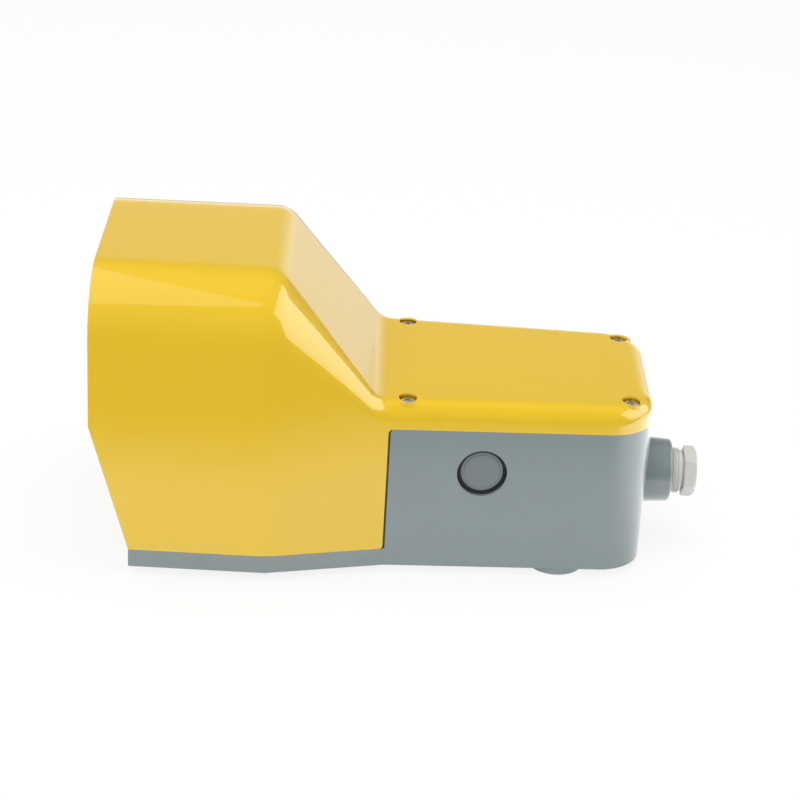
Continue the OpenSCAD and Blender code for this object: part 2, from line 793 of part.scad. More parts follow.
hole_x = pivot_x - fix_x / 2;   // pivot to the holes over the front feet
module pedal_outline(inset = 0, hole_d = access_d) difference() {
    union() {
        translate([-pedal_l + plate_r, -pedal_w / 2 + inset])
            square([pedal_l - plate_r, pedal_w - 2 * inset]);
        translate([-over, -pedal_w / 2 + tail_in + inset])
            square([over + tail_l - inset, pedal_w - 2 * (tail_in + inset)]);
        for (s = [-1, 1]) translate([-pedal_l + plate_r, s * (pedal_w / 2 - plate_r)])
            circle(r = plate_r - inset);
        translate([-pedal_l + inset, -pedal_w / 2 + plate_r]) square([plate_r * 2, pedal_w - 2 * plate_r]);
    }
    for (s = [-1, 1]) translate([hole_x, s * fix_y / 2]) circle(d = hole_d);
}

tread_in = 5;
tread_hole_over = 2;            // tread's holes over the plate's
tread_screw_x = [-92, -26];
tread_screw_y = 22;
tread_screw_d = 3;
tread_head_d = 5.8;
tread_head_h = 1.9;
pedal_rib_y = 12;
pedal_rib_x = [-pedal_l + rib_t, hole_x - access_d / 2 - rib_t - 1, -spring_x + spring_out_d / 2 + 0.6];
hub_web = 8;                    // from the pivot to the front of the webs over the hubs
lug_back = 7;
lug_front = 6;
module at_tread_screws()
    for (x = tread_screw_x, s = [-1, 1]) translate([x, s * tread_screw_y, 0]) children();

module pedal_plate() {
    color(dark) difference() {
        union() {
            in_pedal() {
                translate([0, 0, plate_off]) linear_extrude(height = pedal_t) pedal_outline();
                // side flanges and ribs
                translate([0, 0, plate_off - flange_h]) linear_extrude(height = flange_h + eps) {
                    for (y = [-pedal_w / 2, pedal_w / 2 - flange_t])
                        translate([-pedal_l + plate_r, y]) square([pedal_l - plate_r - skirt_start, flange_t]);
                }
                translate([0, 0, plate_off - pedal_rib_h]) linear_extrude(height = pedal_rib_h + eps) {
                    for (y = [-pedal_rib_y, pedal_rib_y])
                        translate([-pedal_l + rib_t, y - rib_t / 2]) square([pedal_l - 2 * rib_t, rib_t]);
                    for (x = pedal_rib_x)
                        translate([x, -pedal_w / 2 + over]) square([rib_t, pedal_w - 2 * over]);
                }
                // rim round the top of the spring and pads over the bump stops
                translate([-spring_x, 0, plate_off - spring_seat_h])
                    cylinder(d = spring_out_d, h = spring_seat_h + eps);
                for (s = [-1, 1]) translate([-stop_x, s * stop_y, plate_off - stop_pad_h])
                    cylinder(d = stop_cup_d, h = stop_pad_h + eps);
            }
            // hubs, joined to the plate, and the lug
            at_hubs() cylinder(d = pin_d + 2 * bush_wall + 2 * hub_wall, h = hub_l);
            for (s = [-1, 1]) translate([0, s * (hub_out - hub_l / 2), 0]) rotate([90, 0, 0])
                linear_extrude(height = hub_l, center = true) plate_web(-hub_web, hub_web - 2);
            rotate([90, 0, 0]) linear_extrude(height = lug_w, center = true) {
                plate_web(-lug_back, lug_front);
                translate([-pivot_x, rod_z]) circle(r = nose_r);
                polygon([
                    [-pivot_x - nose_r, rod_z], [-pivot_x + nose_r, rod_z],
                    [-pivot_x + nose_r, rod_z + rod_head_d / 2 + over],
                    [-pivot_x + lug_front - air, pivot_z], [-pivot_x - lug_back, pivot_z + over]
                ]);
            }
        }
        at_hubs() translate([0, 0, -over])
            cylinder(d = pin_d + 2 * bush_wall + 2 * seat, h = hub_l + 2 * over);
        at_pivot() cylinder(d = pin_d + 2 * (seat + air), h = pedal_w, center = true);
        in_pedal() {
            translate([-spring_x, 0, plate_off - spring_seat_h - over])
                cylinder(d = spring_in_d, h = spring_seat_h + over);
            at_tread_screws() cylinder(d = tread_screw_d + 2 * thread_gap, h = deep);
        }
    }
}

// Web in side view from the pivot's height up to the plate, between x0 and x1 from the pivot
module plate_web(x0, x1) translate([-pivot_x, pivot_z]) rotate(-pedal_tilt)
    translate([x0, 0]) square([x1 - x0, plate_off + eps]);

tread_rib = 6.4;                // pitch of the grooves
groove_w = 2.6;
groove_foot_w = 1.2;
groove_h = 1.4;
tread_floor = 1.4;              // rubber under the heads of its screws
module pedal_tread() {
    z0 = plate_off + pedal_t + seam / 2;
    color(rubber) in_pedal() translate([0, 0, z0]) difference() {
        linear_extrude(height = tread_t) pedal_outline(tread_in, access_d + tread_hole_over);
        for (x = [-pedal_l + tread_in + tread_rib:tread_rib:-tread_rib])
            translate([x, 0, tread_t]) rotate([90, 0, 0]) linear_extrude(height = pedal_w, center = true)
                polygon([
                    [-groove_w / 2, seat], [groove_w / 2, seat],
                    [groove_foot_w / 2, -groove_h], [-groove_foot_w / 2, -groove_h]
                ]);
        at_tread_screws() {
            translate([0, 0, -over]) cylinder(d = tread_screw_d + 2 * screw_air, h = tread_t + 2 * over);
            translate([0, 0, tread_floor]) cylinder(d = tread_head_d + 1.6, h = tread_t);
        }
    }
}

module tread_screws()
    color(steel) in_pedal() translate([0, 0, plate_off + pedal_t + tread_floor + seam])
        at_tread_screws()
            pan_screw(tread_screw_d, pedal_t + tread_floor + over, tread_head_d, tread_head_h);

// ---------------------------------------------------------------- springs and stops

// Closed-end compression spring along +Z, swept round its helix
module coil_spring(mean_d, wire, turns, length, per_turn = 16, sides = 8) {
    n = turns * per_turn;
    rise = length - wire;
    ends = 1.2;                 // dead turns at each end
    pitch = wire * 1.02;        // their pitch
    function lift(t) =
        let (u = t * turns)
        u < ends ? pitch * u :
        u > turns - ends ? rise - pitch * (turns - u) :
        pitch * ends + (u - ends) / (turns - 2 * ends) * (rise - 2 * pitch * ends);
    points = [for (i = [0:n], j = [0:sides - 1]) let (
            t = i / n, a = 360 * t * turns, b = 360 * j / sides,
            r = mean_d / 2 + wire / 2 * cos(b))
        [r * cos(a), r * sin(a), wire / 2 + lift(t) + wire / 2 * sin(b)]];
    walls = [for (i = [0:n - 1], j = [0:sides - 1]) let (
            a = i * sides + j, b = i * sides + (j + 1) % sides)
        each [[a, b, a + sides], [b, b + sides, a + sides]]];
    first = [for (j = [1:sides - 2]) [0, j + 1, j]];
    last = [for (j = [1:sides - 2]) [n * sides, n * sides + j, n * sides + j + 1]];
    polyhedron(points = points, faces = concat(walls, first, last), convexity = 8);
}

spring_top = pivot_z + plate_off / cos(pedal_tilt) + spring_x * tan(pedal_tilt)
    - (spring_d + wire_d) / 2 * tan(pedal_tilt);
module return_spring()
    color(steel) translate([-pivot_x - spring_x, 0, sill_z + seat])
        coil_spring(spring_d, wire_d, spring_n, spring_top - sill_z - 2 * seat);

// Underside of the pedal's stop pads at full travel, at the pads' front edge
pressed = press_deg - pedal_tilt;
stop_top = pivot_z + (plate_off - stop_pad_h) * cos(pressed)
    - (stop_x + stop_d / 2 + 2) * sin(pressed) - air;
stop_step = 1;
module bump_stops() {
    foot_z = sill_z + stop_cup_h - stop_in + seat;
    color(rubber) for (s = [-1, 1]) translate([-pivot_x - stop_x, s * stop_y, foot_z])
        rotate_extrude() polygon([
            [0, 0], [stop_d / 2, 0], [stop_d / 2, stop_in],
            [stop_d / 2 - stop_step, stop_in + stop_step / 2],
            [stop_d / 2 - 2 * stop_step, stop_top - foot_z], [0, stop_top - foot_z]
        ]);
}

// Buffer under the pedal's tail, which stops the pedal at rest
buffer_h = plate_off / cos(pedal_tilt) - (pivot_x - 1) * tan(pedal_tilt) + pivot_z - shelf_z - air;
module rest_buffer()
    color(rubber) translate([-shelf_l + 0.5, -shelf_w / 2 + 1, shelf_z + 0.05])
        cube([shelf_l - 1, shelf_w - 2, buffer_h - 0.05]);

// ---------------------------------------------------------------- push rod

bush_d = 13;
bush_l = 12;
rod_bush_ring = 2.5;            // width of the flange round the bush
seal_ring = 1.5;                // width of the seal round the rod
seal_room = 2.2;                // length of the seal's groove
seal_in = 4;                    // front of the bush to that groove
rod_clip_ring = 2.5;
rod_clip_t = 0.9;
rod_clip_slot = 3.6;
plunger_out = 4.2;              // plunger's reach out of the block at rest
rod_tip_x = -pivot_x + nose_r + air;
rod_l = block_x - plunger_out - air - rod_tip_x;
rod_edge = 0.5;                 // chamfer at its ends
module along_rod(x = 0) translate([x, 0, rod_z]) rotate([0, 90, 0]) children();

module push_rod() {
    color(steel) along_rod(rod_tip_x) rotate_extrude() polygon([
        [0, 0], [rod_head_d / 2 - rod_edge, 0], [rod_head_d / 2, rod_edge],
        [rod_head_d / 2, rod_head_t - rod_edge], [rod_head_d / 2 - rod_edge, rod_head_t],
        [rod_d / 2, rod_head_t],
        [rod_d / 2, rod_l - rod_edge], [rod_d / 2 - rod_edge, rod_l], [0, rod_l]
    ]);
}

bush_front = 1.6;
module rod_bush()
    color([0.85, 0.82, 0.70]) along_rod(-bush_front) difference() {
        union() {
            translate([0, 0, bush_front - over]) cylinder(d = bush_d, h = bush_l - bush_front + over);
            cylinder(r = min(bush_d / 2 + rod_bush_ring, rod_z - sill_z - air), h = bush_front - seat);
        }
        translate([0, 0, -over]) cylinder(d = rod_d + 2 * run, h = bush_l + 2 * over);
        translate([0, 0, seal_in]) cylinder(r = rod_d / 2 + seal_ring, h = seal_room);
    }

module rod_seal()
    color(rubber) along_rod(-bush_front + seal_in + seat)
        ring(rod_d / 2 + seal_ring - seat, rod_d / 2 + run, seal_room - 2 * seat);

module rod_clip()
    color(steel) along_rod(bush_l - bush_front + air) difference() {
        cylinder(r = rod_d / 2 + rod_clip_ring, h = rod_clip_t);
        translate([0, 0, -over]) cylinder(r = rod_d / 2 + clip_grip, h = rod_clip_t + 2 * over);
        translate([0, -rod_clip_slot / 2, -over]) cube([rod_d, rod_clip_slot, rod_clip_t + 2 * over]);
    }

// ---------------------------------------------------------------- contact block

block_h1 = 7.5;                 // lower half, up to the contacts' strips
block_h2 = 13.5;                // upper half
block_end = 6;                  // rear end of the block, behind its cavity
cavity_drop = 4;                // depth of the cavity below the strips
strip_t = 1;
strip_w = 7;
strip_y = 4.5;                  // middle plane to the inner end of a strip
tab_w = 6;                      // width of a strip's tab that stands up behind its rivet
tab_h = 5.5;
rivet_d = 3.4;
rivet_y = 7.5;
rivet_up = 1;                   // rod's axis to the rivets' axis
split_z = block_z + block_h1;
wall_b = 3;
press_x = lug_drop * press_deg * PI / 180;   // travel of the rod
rivet_h = 0.8;
bridge_t = 1;
bridge_h = 7.2;
nc_in = 10;                     // front of the block to the normally closed rivets' faces
nc_face = block_x + nc_in;
nc_bar = nc_face + air;
no_gap = 14.6;                  // to the normally open rivets' faces
no_face = nc_face + no_gap;
no_bar = no_face - air - press_x - bridge_t;
terminal_y = (block_w + ledge_w) / 4;
terminal_x = [nc_face - rivet_h - strip_t - strip_w / 2 + 1, no_face + rivet_h + strip_t + strip_w / 2 - 1];
block_screw_d = 4;
block_screw_z = foot_h + 1.5;   // bottom of their holes
block_head_d = 7;
block_head_h = 2.4;
lid_screw_d = 2.5;
lid_screw_in = 4;               // side of the block to their axes
lid_hole_h = 5.5;               // depth of their holes in the lower half
lid_head_d = 4.6;
lid_head_h = 1.7;
lid_recess_h = 2;
terminal_screw_d = 3.5;
terminal_screw_l = 8;
terminal_hole_h = 6.5;
terminal_head_d = 6;
terminal_head_h = 2.2;
terminal_slot = 0.2;            // clearance of a strip's hole round its screw
module at_block_screws()
    for (s = [-1, 1]) translate([(terminal_x[0] + terminal_x[1]) / 2, s * terminal_y, 0]) children();
module at_terminals() for (x = terminal_x, s = [-1, 1]) translate([x, s * terminal_y, 0]) children();
module at_lid_screws()
    for (s = [-1, 1]) translate([block_x + block_l - wall_b, s * (block_w / 2 - lid_screw_in), 0])
        children();

cavity_l = block_l - wall_b - block_end;
cavity_end = block_x + wall_b + cavity_l;
module block_base() {
    color(dark) difference() {
        translate([block_x, 0, block_z]) {
            translate([0, -block_w / 2, 0]) cube([block_l, block_w, block_h1]);
            translate([0, -ledge_w / 2, 0]) cube([block_l - block_end, ledge_w, block_h1 - seam]);
        }
        translate([block_x + wall_b, -block_w / 2 + wall_b, split_z - cavity_drop])
            cube([cavity_l, block_w - 2 * wall_b, deep]);
        along_rod(block_x - over) cylinder(d = plunger_d + 2 * run, h = wall_b + 2 * over);
        at_terminals() translate([0, 0, split_z - terminal_hole_h])
            cylinder(d = terminal_screw_d + 2 * thread_gap, h = deep);
        at_lid_screws() translate([0, 0, split_z - lid_hole_h])
            cylinder(d = lid_screw_d + 2 * thread_gap, h = deep);
        at_block_screws() cylinder(d = block_screw_d + 2 * screw_air, h = deep);
    }
}

module block_lid() {
    color([0.75, 0.76, 0.74]) difference() {
        translate([block_x, -block_w / 2, split_z + seam / 2]) cube([block_l, block_w, block_h2]);
        translate([block_x + wall_b, -block_w / 2 + wall_b, split_z - over])
            cube([cavity_l, block_w - 2 * wall_b, block_h2 - wall_b + over]);
        for (x = terminal_x) translate([x - strip_w / 2 - 2 * seat, -block_w / 2 - over, split_z - over])
            cube([strip_w + 4 * seat, block_w + 2 * over, over + strip_t + seam + 2 * seat]);
        along_rod(block_x - over) cylinder(d = plunger_d + 2 * run, h = wall_b + 2 * over);
        at_lid_screws() {
            translate([0, 0, split_z - over]) cylinder(d = lid_screw_d + screw_air, h = deep);
            translate([0, 0, split_z + block_h2 - lid_recess_h])
                cylinder(d = lid_head_d + 2 * air, h = deep);
        }
    }
}

module block_screws()
    color(steel) at_block_screws() translate([0, 0, split_z + seam / 2])
        pan_screw(block_screw_d, split_z - block_screw_z - 0.5, block_head_d, block_head_h);

module lid_screws()
    color(steel) at_lid_screws() translate([0, 0, split_z + block_h2 - lid_recess_h + seam])
        pan_screw(lid_screw_d, block_h2 - lid_recess_h + lid_hole_h - 0.9, lid_head_d, lid_head_h);

tail_d = 3;
collar_d = 7;
collar_t = 1.2;
collar_x = no_face + rivet_h + strip_t + 2 * air;
tail_end_x = cavity_end - press_x - 0.5;
module block_plunger() {
    color([0.82, 0.20, 0.14]) along_rod(block_x - plunger_out) {
        cylinder(d = plunger_d, h = collar_x - block_x + plunger_out + eps);
        translate([0, 0, collar_x - block_x + plunger_out]) {
            cylinder(d = collar_d, h = collar_t);
            cylinder(d = tail_d, h = tail_end_x - collar_x);
        }
    }
}

module contact_bridges()
    color([0.80, 0.50, 0.25]) for (x = [nc_bar, no_bar]) difference() {
        translate([x, -block_w / 2 + wall_b + over, rod_z - bridge_h / 2])
            cube([bridge_t, block_w - 2 * (wall_b + over), bridge_h]);
        along_rod(x - over) cylinder(d = plunger_d + seat, h = bridge_t + 2 * over);
    }

strip_end = 1.5;                // end of a strip to the side of its ledge
// Angled strip with its contact rivet; side is -1 where the rivet faces forwards
module fixed_contact(face_x, side) {
    tab_x = side < 0 ? face_x + rivet_h : face_x - rivet_h - strip_t;
    pad_x = side < 0 ? tab_x : tab_x + strip_t - strip_w;
    difference() {
        union() {
            translate([pad_x, strip_y, split_z + seam])
                cube([strip_w, ledge_w / 2 - strip_y - strip_end, strip_t]);
            translate([tab_x, strip_y, split_z + seam]) cube([strip_t, tab_w, tab_h]);
            translate([side < 0 ? face_x : face_x - rivet_h, rivet_y, rod_z + rivet_up])
                rotate([0, 90, 0]) cylinder(d = rivet_d, h = rivet_h + eps);
        }
        translate([pad_x + strip_w / 2, terminal_y, split_z - over])
            cylinder(d = terminal_screw_d + 2 * terminal_slot, h = deep);
    }
}

module fixed_contacts()
    color([0.80, 0.50, 0.25]) for (s = [0, 1]) mirror([0, s, 0]) {
        fixed_contact(nc_face, 1);
        fixed_contact(no_face, -1);
    }

clamp_t = 1;
clamp_w = 6.4;
module terminal_clamps()
    color(steel) at_terminals() translate([0, 0, split_z + strip_t + 2 * seam]) difference() {
        translate([-clamp_w / 2, -clamp_w / 2, 0]) cube([clamp_w, clamp_w, clamp_t]);
        translate([0, 0, -over])
            cylinder(d = terminal_screw_d + 2 * terminal_slot, h = clamp_t + 2 * over);
    }

module terminal_screws()
    color(steel) at_terminals() translate([0, 0, split_z + strip_t + clamp_t + 3 * seam])
        pan_screw(terminal_screw_d, terminal_screw_l, terminal_head_d, terminal_head_h);

plunger_spring_x = collar_x + collar_t + seat;
plunger_coil_d = 5;
plunger_wire_d = 0.7;
plunger_turns = 6;
module plunger_spring()
    color(steel) along_rod(plunger_spring_x)
        coil_spring(
            plunger_coil_d, plunger_wire_d, plunger_turns, cavity_end - plunger_spring_x - seat,
            per_turn = 12, sides = 6
        );

base_housing();
hood_cover();
cover_gasket();
cover_screws();
cover_inserts();
hood_screws();
foot_pads();
side_plugs();
side_plug_seals();
side_plug_nuts();
gland_screw();
gland_washer();
gland_seal();
pivot_pin();
pin_clips();
pedal_bushes();
pedal_plate();
pedal_tread();
tread_screws();
return_spring();
bump_stops();
rest_buffer();
push_rod();
rod_clip();
rod_bush();
rod_seal();
block_base();
block_lid();
block_screws();
lid_screws();
block_plunger();
contact_bridges();
fixed_contacts();
terminal_clamps();
terminal_screws();
plunger_spring();
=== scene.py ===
"""Hooded industrial foot switch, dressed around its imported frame.

The frame gives every place and size that is known there. The classes below hold the sizes that
belong to the looks, model their pieces from primitives, and dress the frame's own nodes.
Lengths are in metres unless a name says millimetres.
"""
import json
import logging
import math
from dataclasses import dataclass, field
from enum import Enum
from typing import Callable, Iterable

import bpy
from mathutils import Euler, Matrix, Vector


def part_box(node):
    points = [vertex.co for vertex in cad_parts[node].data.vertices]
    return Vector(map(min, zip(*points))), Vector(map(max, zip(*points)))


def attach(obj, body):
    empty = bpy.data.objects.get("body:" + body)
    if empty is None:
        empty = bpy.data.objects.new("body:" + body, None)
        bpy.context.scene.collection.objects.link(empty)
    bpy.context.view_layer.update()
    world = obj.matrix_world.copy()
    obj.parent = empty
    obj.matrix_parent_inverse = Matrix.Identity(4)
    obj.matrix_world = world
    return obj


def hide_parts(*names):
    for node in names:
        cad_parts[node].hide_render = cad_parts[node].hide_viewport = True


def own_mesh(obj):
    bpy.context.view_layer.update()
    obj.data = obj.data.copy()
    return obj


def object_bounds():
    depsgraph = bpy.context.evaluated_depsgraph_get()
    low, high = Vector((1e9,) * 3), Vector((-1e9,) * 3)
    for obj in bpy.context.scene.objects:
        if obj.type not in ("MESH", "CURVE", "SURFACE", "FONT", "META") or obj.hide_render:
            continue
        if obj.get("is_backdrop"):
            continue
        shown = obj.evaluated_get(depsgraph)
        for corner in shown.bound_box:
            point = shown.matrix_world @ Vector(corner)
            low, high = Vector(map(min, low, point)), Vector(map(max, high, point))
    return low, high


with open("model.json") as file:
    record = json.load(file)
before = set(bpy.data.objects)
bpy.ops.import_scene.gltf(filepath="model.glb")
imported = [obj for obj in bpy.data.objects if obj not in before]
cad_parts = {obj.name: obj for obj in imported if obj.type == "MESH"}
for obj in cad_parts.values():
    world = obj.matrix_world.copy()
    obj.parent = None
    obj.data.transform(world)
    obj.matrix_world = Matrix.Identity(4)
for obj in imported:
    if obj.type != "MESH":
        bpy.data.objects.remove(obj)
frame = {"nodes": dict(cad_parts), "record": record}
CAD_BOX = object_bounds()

LOG = logging.getLogger("foot_switch")
MM = 0.001
COPY_MERGE = 0.004 * MM
FLAT_ANGLE = math.radians(0.6)


class Axis(Enum):
    """The direction that a turned piece's own axis points in, as a rotation."""

    X = (0.0, math.pi / 2, 0.0)
    Z = (0.0, 0.0, 0.0)


class Side(Enum):
    """The side of the middle plane that a piece is on."""

    NEAR = -1
    FAR = 1


# ------------------------------------------------------------------ modelling helpers


def alone(obj: bpy.types.Object) -> bpy.types.Object:
    """Makes an object the only selected one, and the active one.

    Args:
        obj: The object to work on.

    Returns:
        The same object.
    """
    if bpy.context.object and bpy.context.object.mode != "OBJECT":
        bpy.ops.object.mode_set(mode="OBJECT")
    bpy.ops.object.select_all(action="DESELECT")
    obj.select_set(True)
    bpy.context.view_layer.objects.active = obj
    return obj


def settle(obj: bpy.types.Object, name: str) -> bpy.types.Object:
    """Names an object and puts its place into its mesh.

    Args:
        obj: The object to settle at the origin.
        name: The piece's name.

    Returns:
        The same object.
    """
    alone(obj)
    bpy.ops.object.transform_apply(location=True, rotation=True, scale=True)
    obj.name = name
    obj.data.name = name
    return obj


def modify(obj: bpy.types.Object, kind: str, **settings: object) -> bpy.types.Object:
    """Adds a modifier to an object and applies it.

    Args:
        obj: The object to change.
        kind: The modifier's type, such as BEVEL.
        **settings: Values for the modifier's own settings.

    Returns:
        The same object.
    """
    alone(obj)
    modifier = obj.modifiers.new(kind.lower(), kind)
    for key, value in settings.items():
        setattr(modifier, key, value)
    bpy.ops.object.modifier_apply(modifier=modifier.name)
    return obj


def edited(obj: bpy.types.Object, *steps: Callable[[], object]) -> bpy.types.Object:
    """Runs operators in edit mode with the whole mesh selected first.

    Args:
        obj: The object to edit.
        *steps: Calls to make, in order.

    Returns:
        The same object.
    """
    alone(obj)
    bpy.ops.object.mode_set(mode="EDIT")
    bpy.ops.mesh.select_all(action="SELECT")
    for step in steps:
        step()
    bpy.ops.object.mode_set(mode="OBJECT")
    return obj


def merged(obj: bpy.types.Object, distance: float = 0.002 * MM) -> bpy.types.Object:
    """Merges doubled vertices and turns all faces outwards.

    Args:
        obj: The object to clean.
        distance: The greatest distance between doubles.

    Returns:
        The same object.
    """
    return edited(
        obj,
        lambda: bpy.ops.mesh.remove_doubles(threshold=distance),
        lambda: bpy.ops.mesh.normals_make_consistent(inside=False),
    )


def smooth(obj: bpy.types.Object, degrees: float = 32.0) -> bpy.types.Object:
    """Shades an object smooth up to an angle, with flat faces kept flat.

    Args:
        obj: The object to shade.
        degrees: The angle past which an edge stays sharp.

    Returns:
        The same object.
    """
    alone(obj)
    bpy.ops.object.shade_smooth_by_angle(angle=math.radians(degrees))
    return modify(obj, "WEIGHTED_NORMAL", keep_sharp=True, weight=80)


def joined(name: str, pieces: list[bpy.types.Object]) -> bpy.types.Object:
    """Joins meshes into one piece.

    Args:
        name: The joined piece's name.
        pieces: The objects to join.

    Returns:
        The one object that is left.
    """
    alone(pieces[0])
    for piece in pieces[1:]:
        piece.select_set(True)
    bpy.ops.object.join()
    pieces[0].name = name
    pieces[0].data.name = name
    return pieces[0]


def cut(obj: bpy.types.Object, tool: bpy.types.Object, how: str = "DIFFERENCE") -> bpy.types.Object:
    """Cuts one mesh with another, and removes the tool.

    Args:
        obj: The mesh to cut.
        tool: The mesh to cut it with.
        how: The boolean operation.

    Returns:
        The cut object.
    """
    modify(obj, "BOOLEAN", object=tool, operation=how, solver="EXACT")
    bpy.data.objects.remove(tool)
    return obj


def cylinder(
    name: str, radius: float, low: Vector, length: float, axis: Axis = Axis.Z, sides: int = 64
) -> bpy.types.Object:
    """Adds a cylinder that starts at a point and runs along an axis.

    Args:
        name: The piece's name.
        radius: Its radius.
        low: The centre of its first end.
        length: Its length.
        axis: The way that it points.
        sides: The number of its sides.

    Returns:
        The new object.
    """
    bpy.ops.object.select_all(action="DESELECT")
    half = Euler(axis.value).to_matrix() @ Vector((0, 0, length / 2))
    bpy.ops.mesh.primitive_cylinder_add(
        vertices=sides, radius=radius, depth=length, location=Vector(low) + half, rotation=axis.value,
    )
    return settle(bpy.context.object, name)


def block(name: str, low: Iterable[float], high: Iterable[float], edge: float = 0) -> bpy.types.Object:
    """Adds a block between two corners, with its edges rounded.

    Args:
        name: The piece's name.
        low: Its lowest corner.
        high: Its highest corner.
        edge: The radius of its edges, or 0 for sharp ones.

    Returns:
        The new object.
    """
    low, high = Vector(low), Vector(high)
    bpy.ops.object.select_all(action="DESELECT")
    bpy.ops.mesh.primitive_cube_add(size=1, location=(low + high) / 2, scale=high - low)
    obj = settle(bpy.context.object, name)
    if edge:
        modify(obj, "BEVEL", width=edge, segments=3)
    return obj


def linked(name: str, data: bpy.types.ID) -> bpy.types.Object:
    """Adds an object for a mesh, curve, lamp or camera to the scene.

    Args:
        name: The object's name.
        data: What it shows.

    Returns:
        The new object.
    """
    obj = bpy.data.objects.new(name, data)
    bpy.context.scene.collection.objects.link(obj)
    return obj


def turned(
    name: str, profile: list[tuple[float, float]], place: Iterable[float] = (0.0, 0.0, 0.0),
    axis: Axis = Axis.Z, steps: int = 72,
) -> bpy.types.Object:
    """Spins a profile of (radius, height) points round an axis.

    Args:
        name: The piece's name.
        profile: The points, from the lower end at the axis, outwards and up to the upper end.
        place: Where the profile's origin goes.
        axis: The way that its height points.
        steps: The number of steps round.

    Returns:
        The new object.
    """
    mesh = bpy.data.meshes.new(name)
    points = [(radius, 0.0, height) for radius, height in profile]
    mesh.from_pydata(points, [(i, i + 1) for i in range(len(points) - 1)], [])
    obj = linked(name, mesh)
    edited(obj, lambda: bpy.ops.mesh.spin(steps=steps, angle=math.tau, center=(0, 0, 0), axis=(0, 0, 1)))
    merged(obj)
    obj.rotation_euler = axis.value
    obj.location = place
    return settle(obj, name)


def arc(centre: tuple[float, float], radius: float, start: float, end: float, steps: int = 6) -> list:
    """Gives points along an arc, for a profile.

    Args:
        centre: The arc's centre.
        radius: Its radius.
        start: The first angle in degrees, from the profile's outward direction.
        end: The last angle in degrees.
        steps: The number of steps.

    Returns:
        The points, both ends included.
    """
    angles = [math.radians(start + (end - start) * i / steps) for i in range(steps + 1)]
    return [(centre[0] + radius * math.cos(a), centre[1] + radius * math.sin(a)) for a in angles]


def copied(node: str, name: str, edge: float, angle: float = 35.0) -> bpy.types.Object:
    """Copies a node's mesh, cleans it and rounds its sharp edges.

    Args:
        node: The node to copy.
        name: The new piece's name.
        edge: The radius of its edges.
        angle: The least angle in degrees at which an edge counts as sharp.

    Returns:
        The new object.
    """
    source = frame["nodes"][node]
    obj = source.copy()
    obj.data = source.data.copy()
    obj.parent = None
    for key in list(obj.keys()):
        del obj[key]
    bpy.context.scene.collection.objects.link(obj)
    obj.name = name
    obj.data.name = name
    alone(obj)
    if obj.data.has_custom_normals:
        bpy.ops.mesh.customdata_custom_splitnormals_clear()
    edited(
        obj,
        lambda: bpy.ops.mesh.remove_doubles(threshold=COPY_MERGE),
        lambda: bpy.ops.mesh.dissolve_limited(angle_limit=FLAT_ANGLE),
    )
    if edge:
        modify(
            obj, "BEVEL", width=edge, segments=2, limit_method="ANGLE",
            angle_limit=math.radians(angle), use_clamp_overlap=True,
        )
    return smooth(obj)


# ------------------------------------------------------------------ finishes


@dataclass
class Tree:
    """The node tree of a material or the world, with short calls that add nodes and fill them.

    Args:
        tree: Blender's own tree.
    """

    tree: bpy.types.NodeTree

    def fill(self, node: bpy.types.Node, **inputs: object) -> bpy.types.Node:
        """Fills a node's inputs.

        Args:
            node: The node to fill.
            **inputs: A value or an output for each input, by its name with _ for a space.

        Returns:
            The same node.
        """
        for name, value in inputs.items():
            socket = node.inputs[name.replace("_", " ")]
            if isinstance(value, bpy.types.NodeSocket):
                self.tree.links.new(value, socket)
            else:
                socket.default_value = value
        return node

    def add(self, kind: str, **inputs: object) -> bpy.types.Node:
        """Adds a node of a kind, such as Bump, and fills its inputs."""
        return self.fill(self.tree.nodes.new("ShaderNode" + kind), **inputs)

    def mixed(
        self, share: bpy.types.NodeSocket, first: object, second: object, kind: str = "FLOAT",
    ) -> bpy.types.NodeSocket:
        """Mixes two levels or colours, each a value or an output, by a share.

        Args:
            share: How far the mix goes to the second.
            first: The level or colour at 0.
            second: The level or colour at 1.
            kind: FLOAT for levels or RGBA for colours.

        Returns:
            The mix.
        """
        mix = self.tree.nodes.new("ShaderNodeMix")
        mix.data_type = kind
        return self.fill(mix, Factor=share, A=first, B=second).outputs["Result"]

    def blended(
        self, share: bpy.types.NodeSocket, first: bpy.types.NodeSocket, second: bpy.types.NodeSocket,
    ) -> bpy.types.NodeSocket:
        """Mixes two shaders by a share.

        Args:
            share: How far the mix goes to the second.
            first: The shader at 0.
            second: The shader at 1.

        Returns:
            The mixed shader.
        """
        mix = self.tree.nodes.new("ShaderNodeMixShader")
        for socket, source in zip(mix.inputs, (share, first, second)):
            self.tree.links.new(source, socket)
        return mix.outputs["Shader"]

    def ramp(
        self, value: bpy.types.NodeSocket, start: tuple[float, float], end: tuple[float, float],
    ) -> bpy.types.NodeSocket:
        """Maps a value from one range to another, smoothly and held at both ends.

        Args:
            value: The value to map.
            start: The range that it comes from.
            end: The range that it goes to.

        Returns:
            The mapped value.
        """
        ramp = self.add("MapRange", From_Min=start[0], From_Max=start[1], To_Min=end[0], To_Max=end[1])
        ramp.interpolation_type = "SMOOTHSTEP"
        self.tree.links.new(value, ramp.inputs["Value"])
        return ramp.outputs["Result"]

    def combined(self, operation: str, *values: bpy.types.NodeSocket) -> bpy.types.NodeSocket:
        """Combines values, one after the other, by an operation such as MULTIPLY.

        Args:
            operation: What is done with each pair.
            *values: The values, in order.

        Returns:
            The result.
        """
        result = values[0]
        for value in values[1:]:
            node = self.tree.nodes.new("ShaderNodeMath")
            node.operation = operation
            self.tree.links.new(result, node.inputs[0])
            self.tree.links.new(value, node.inputs[1])
            result = node.outputs["Value"]
        return result


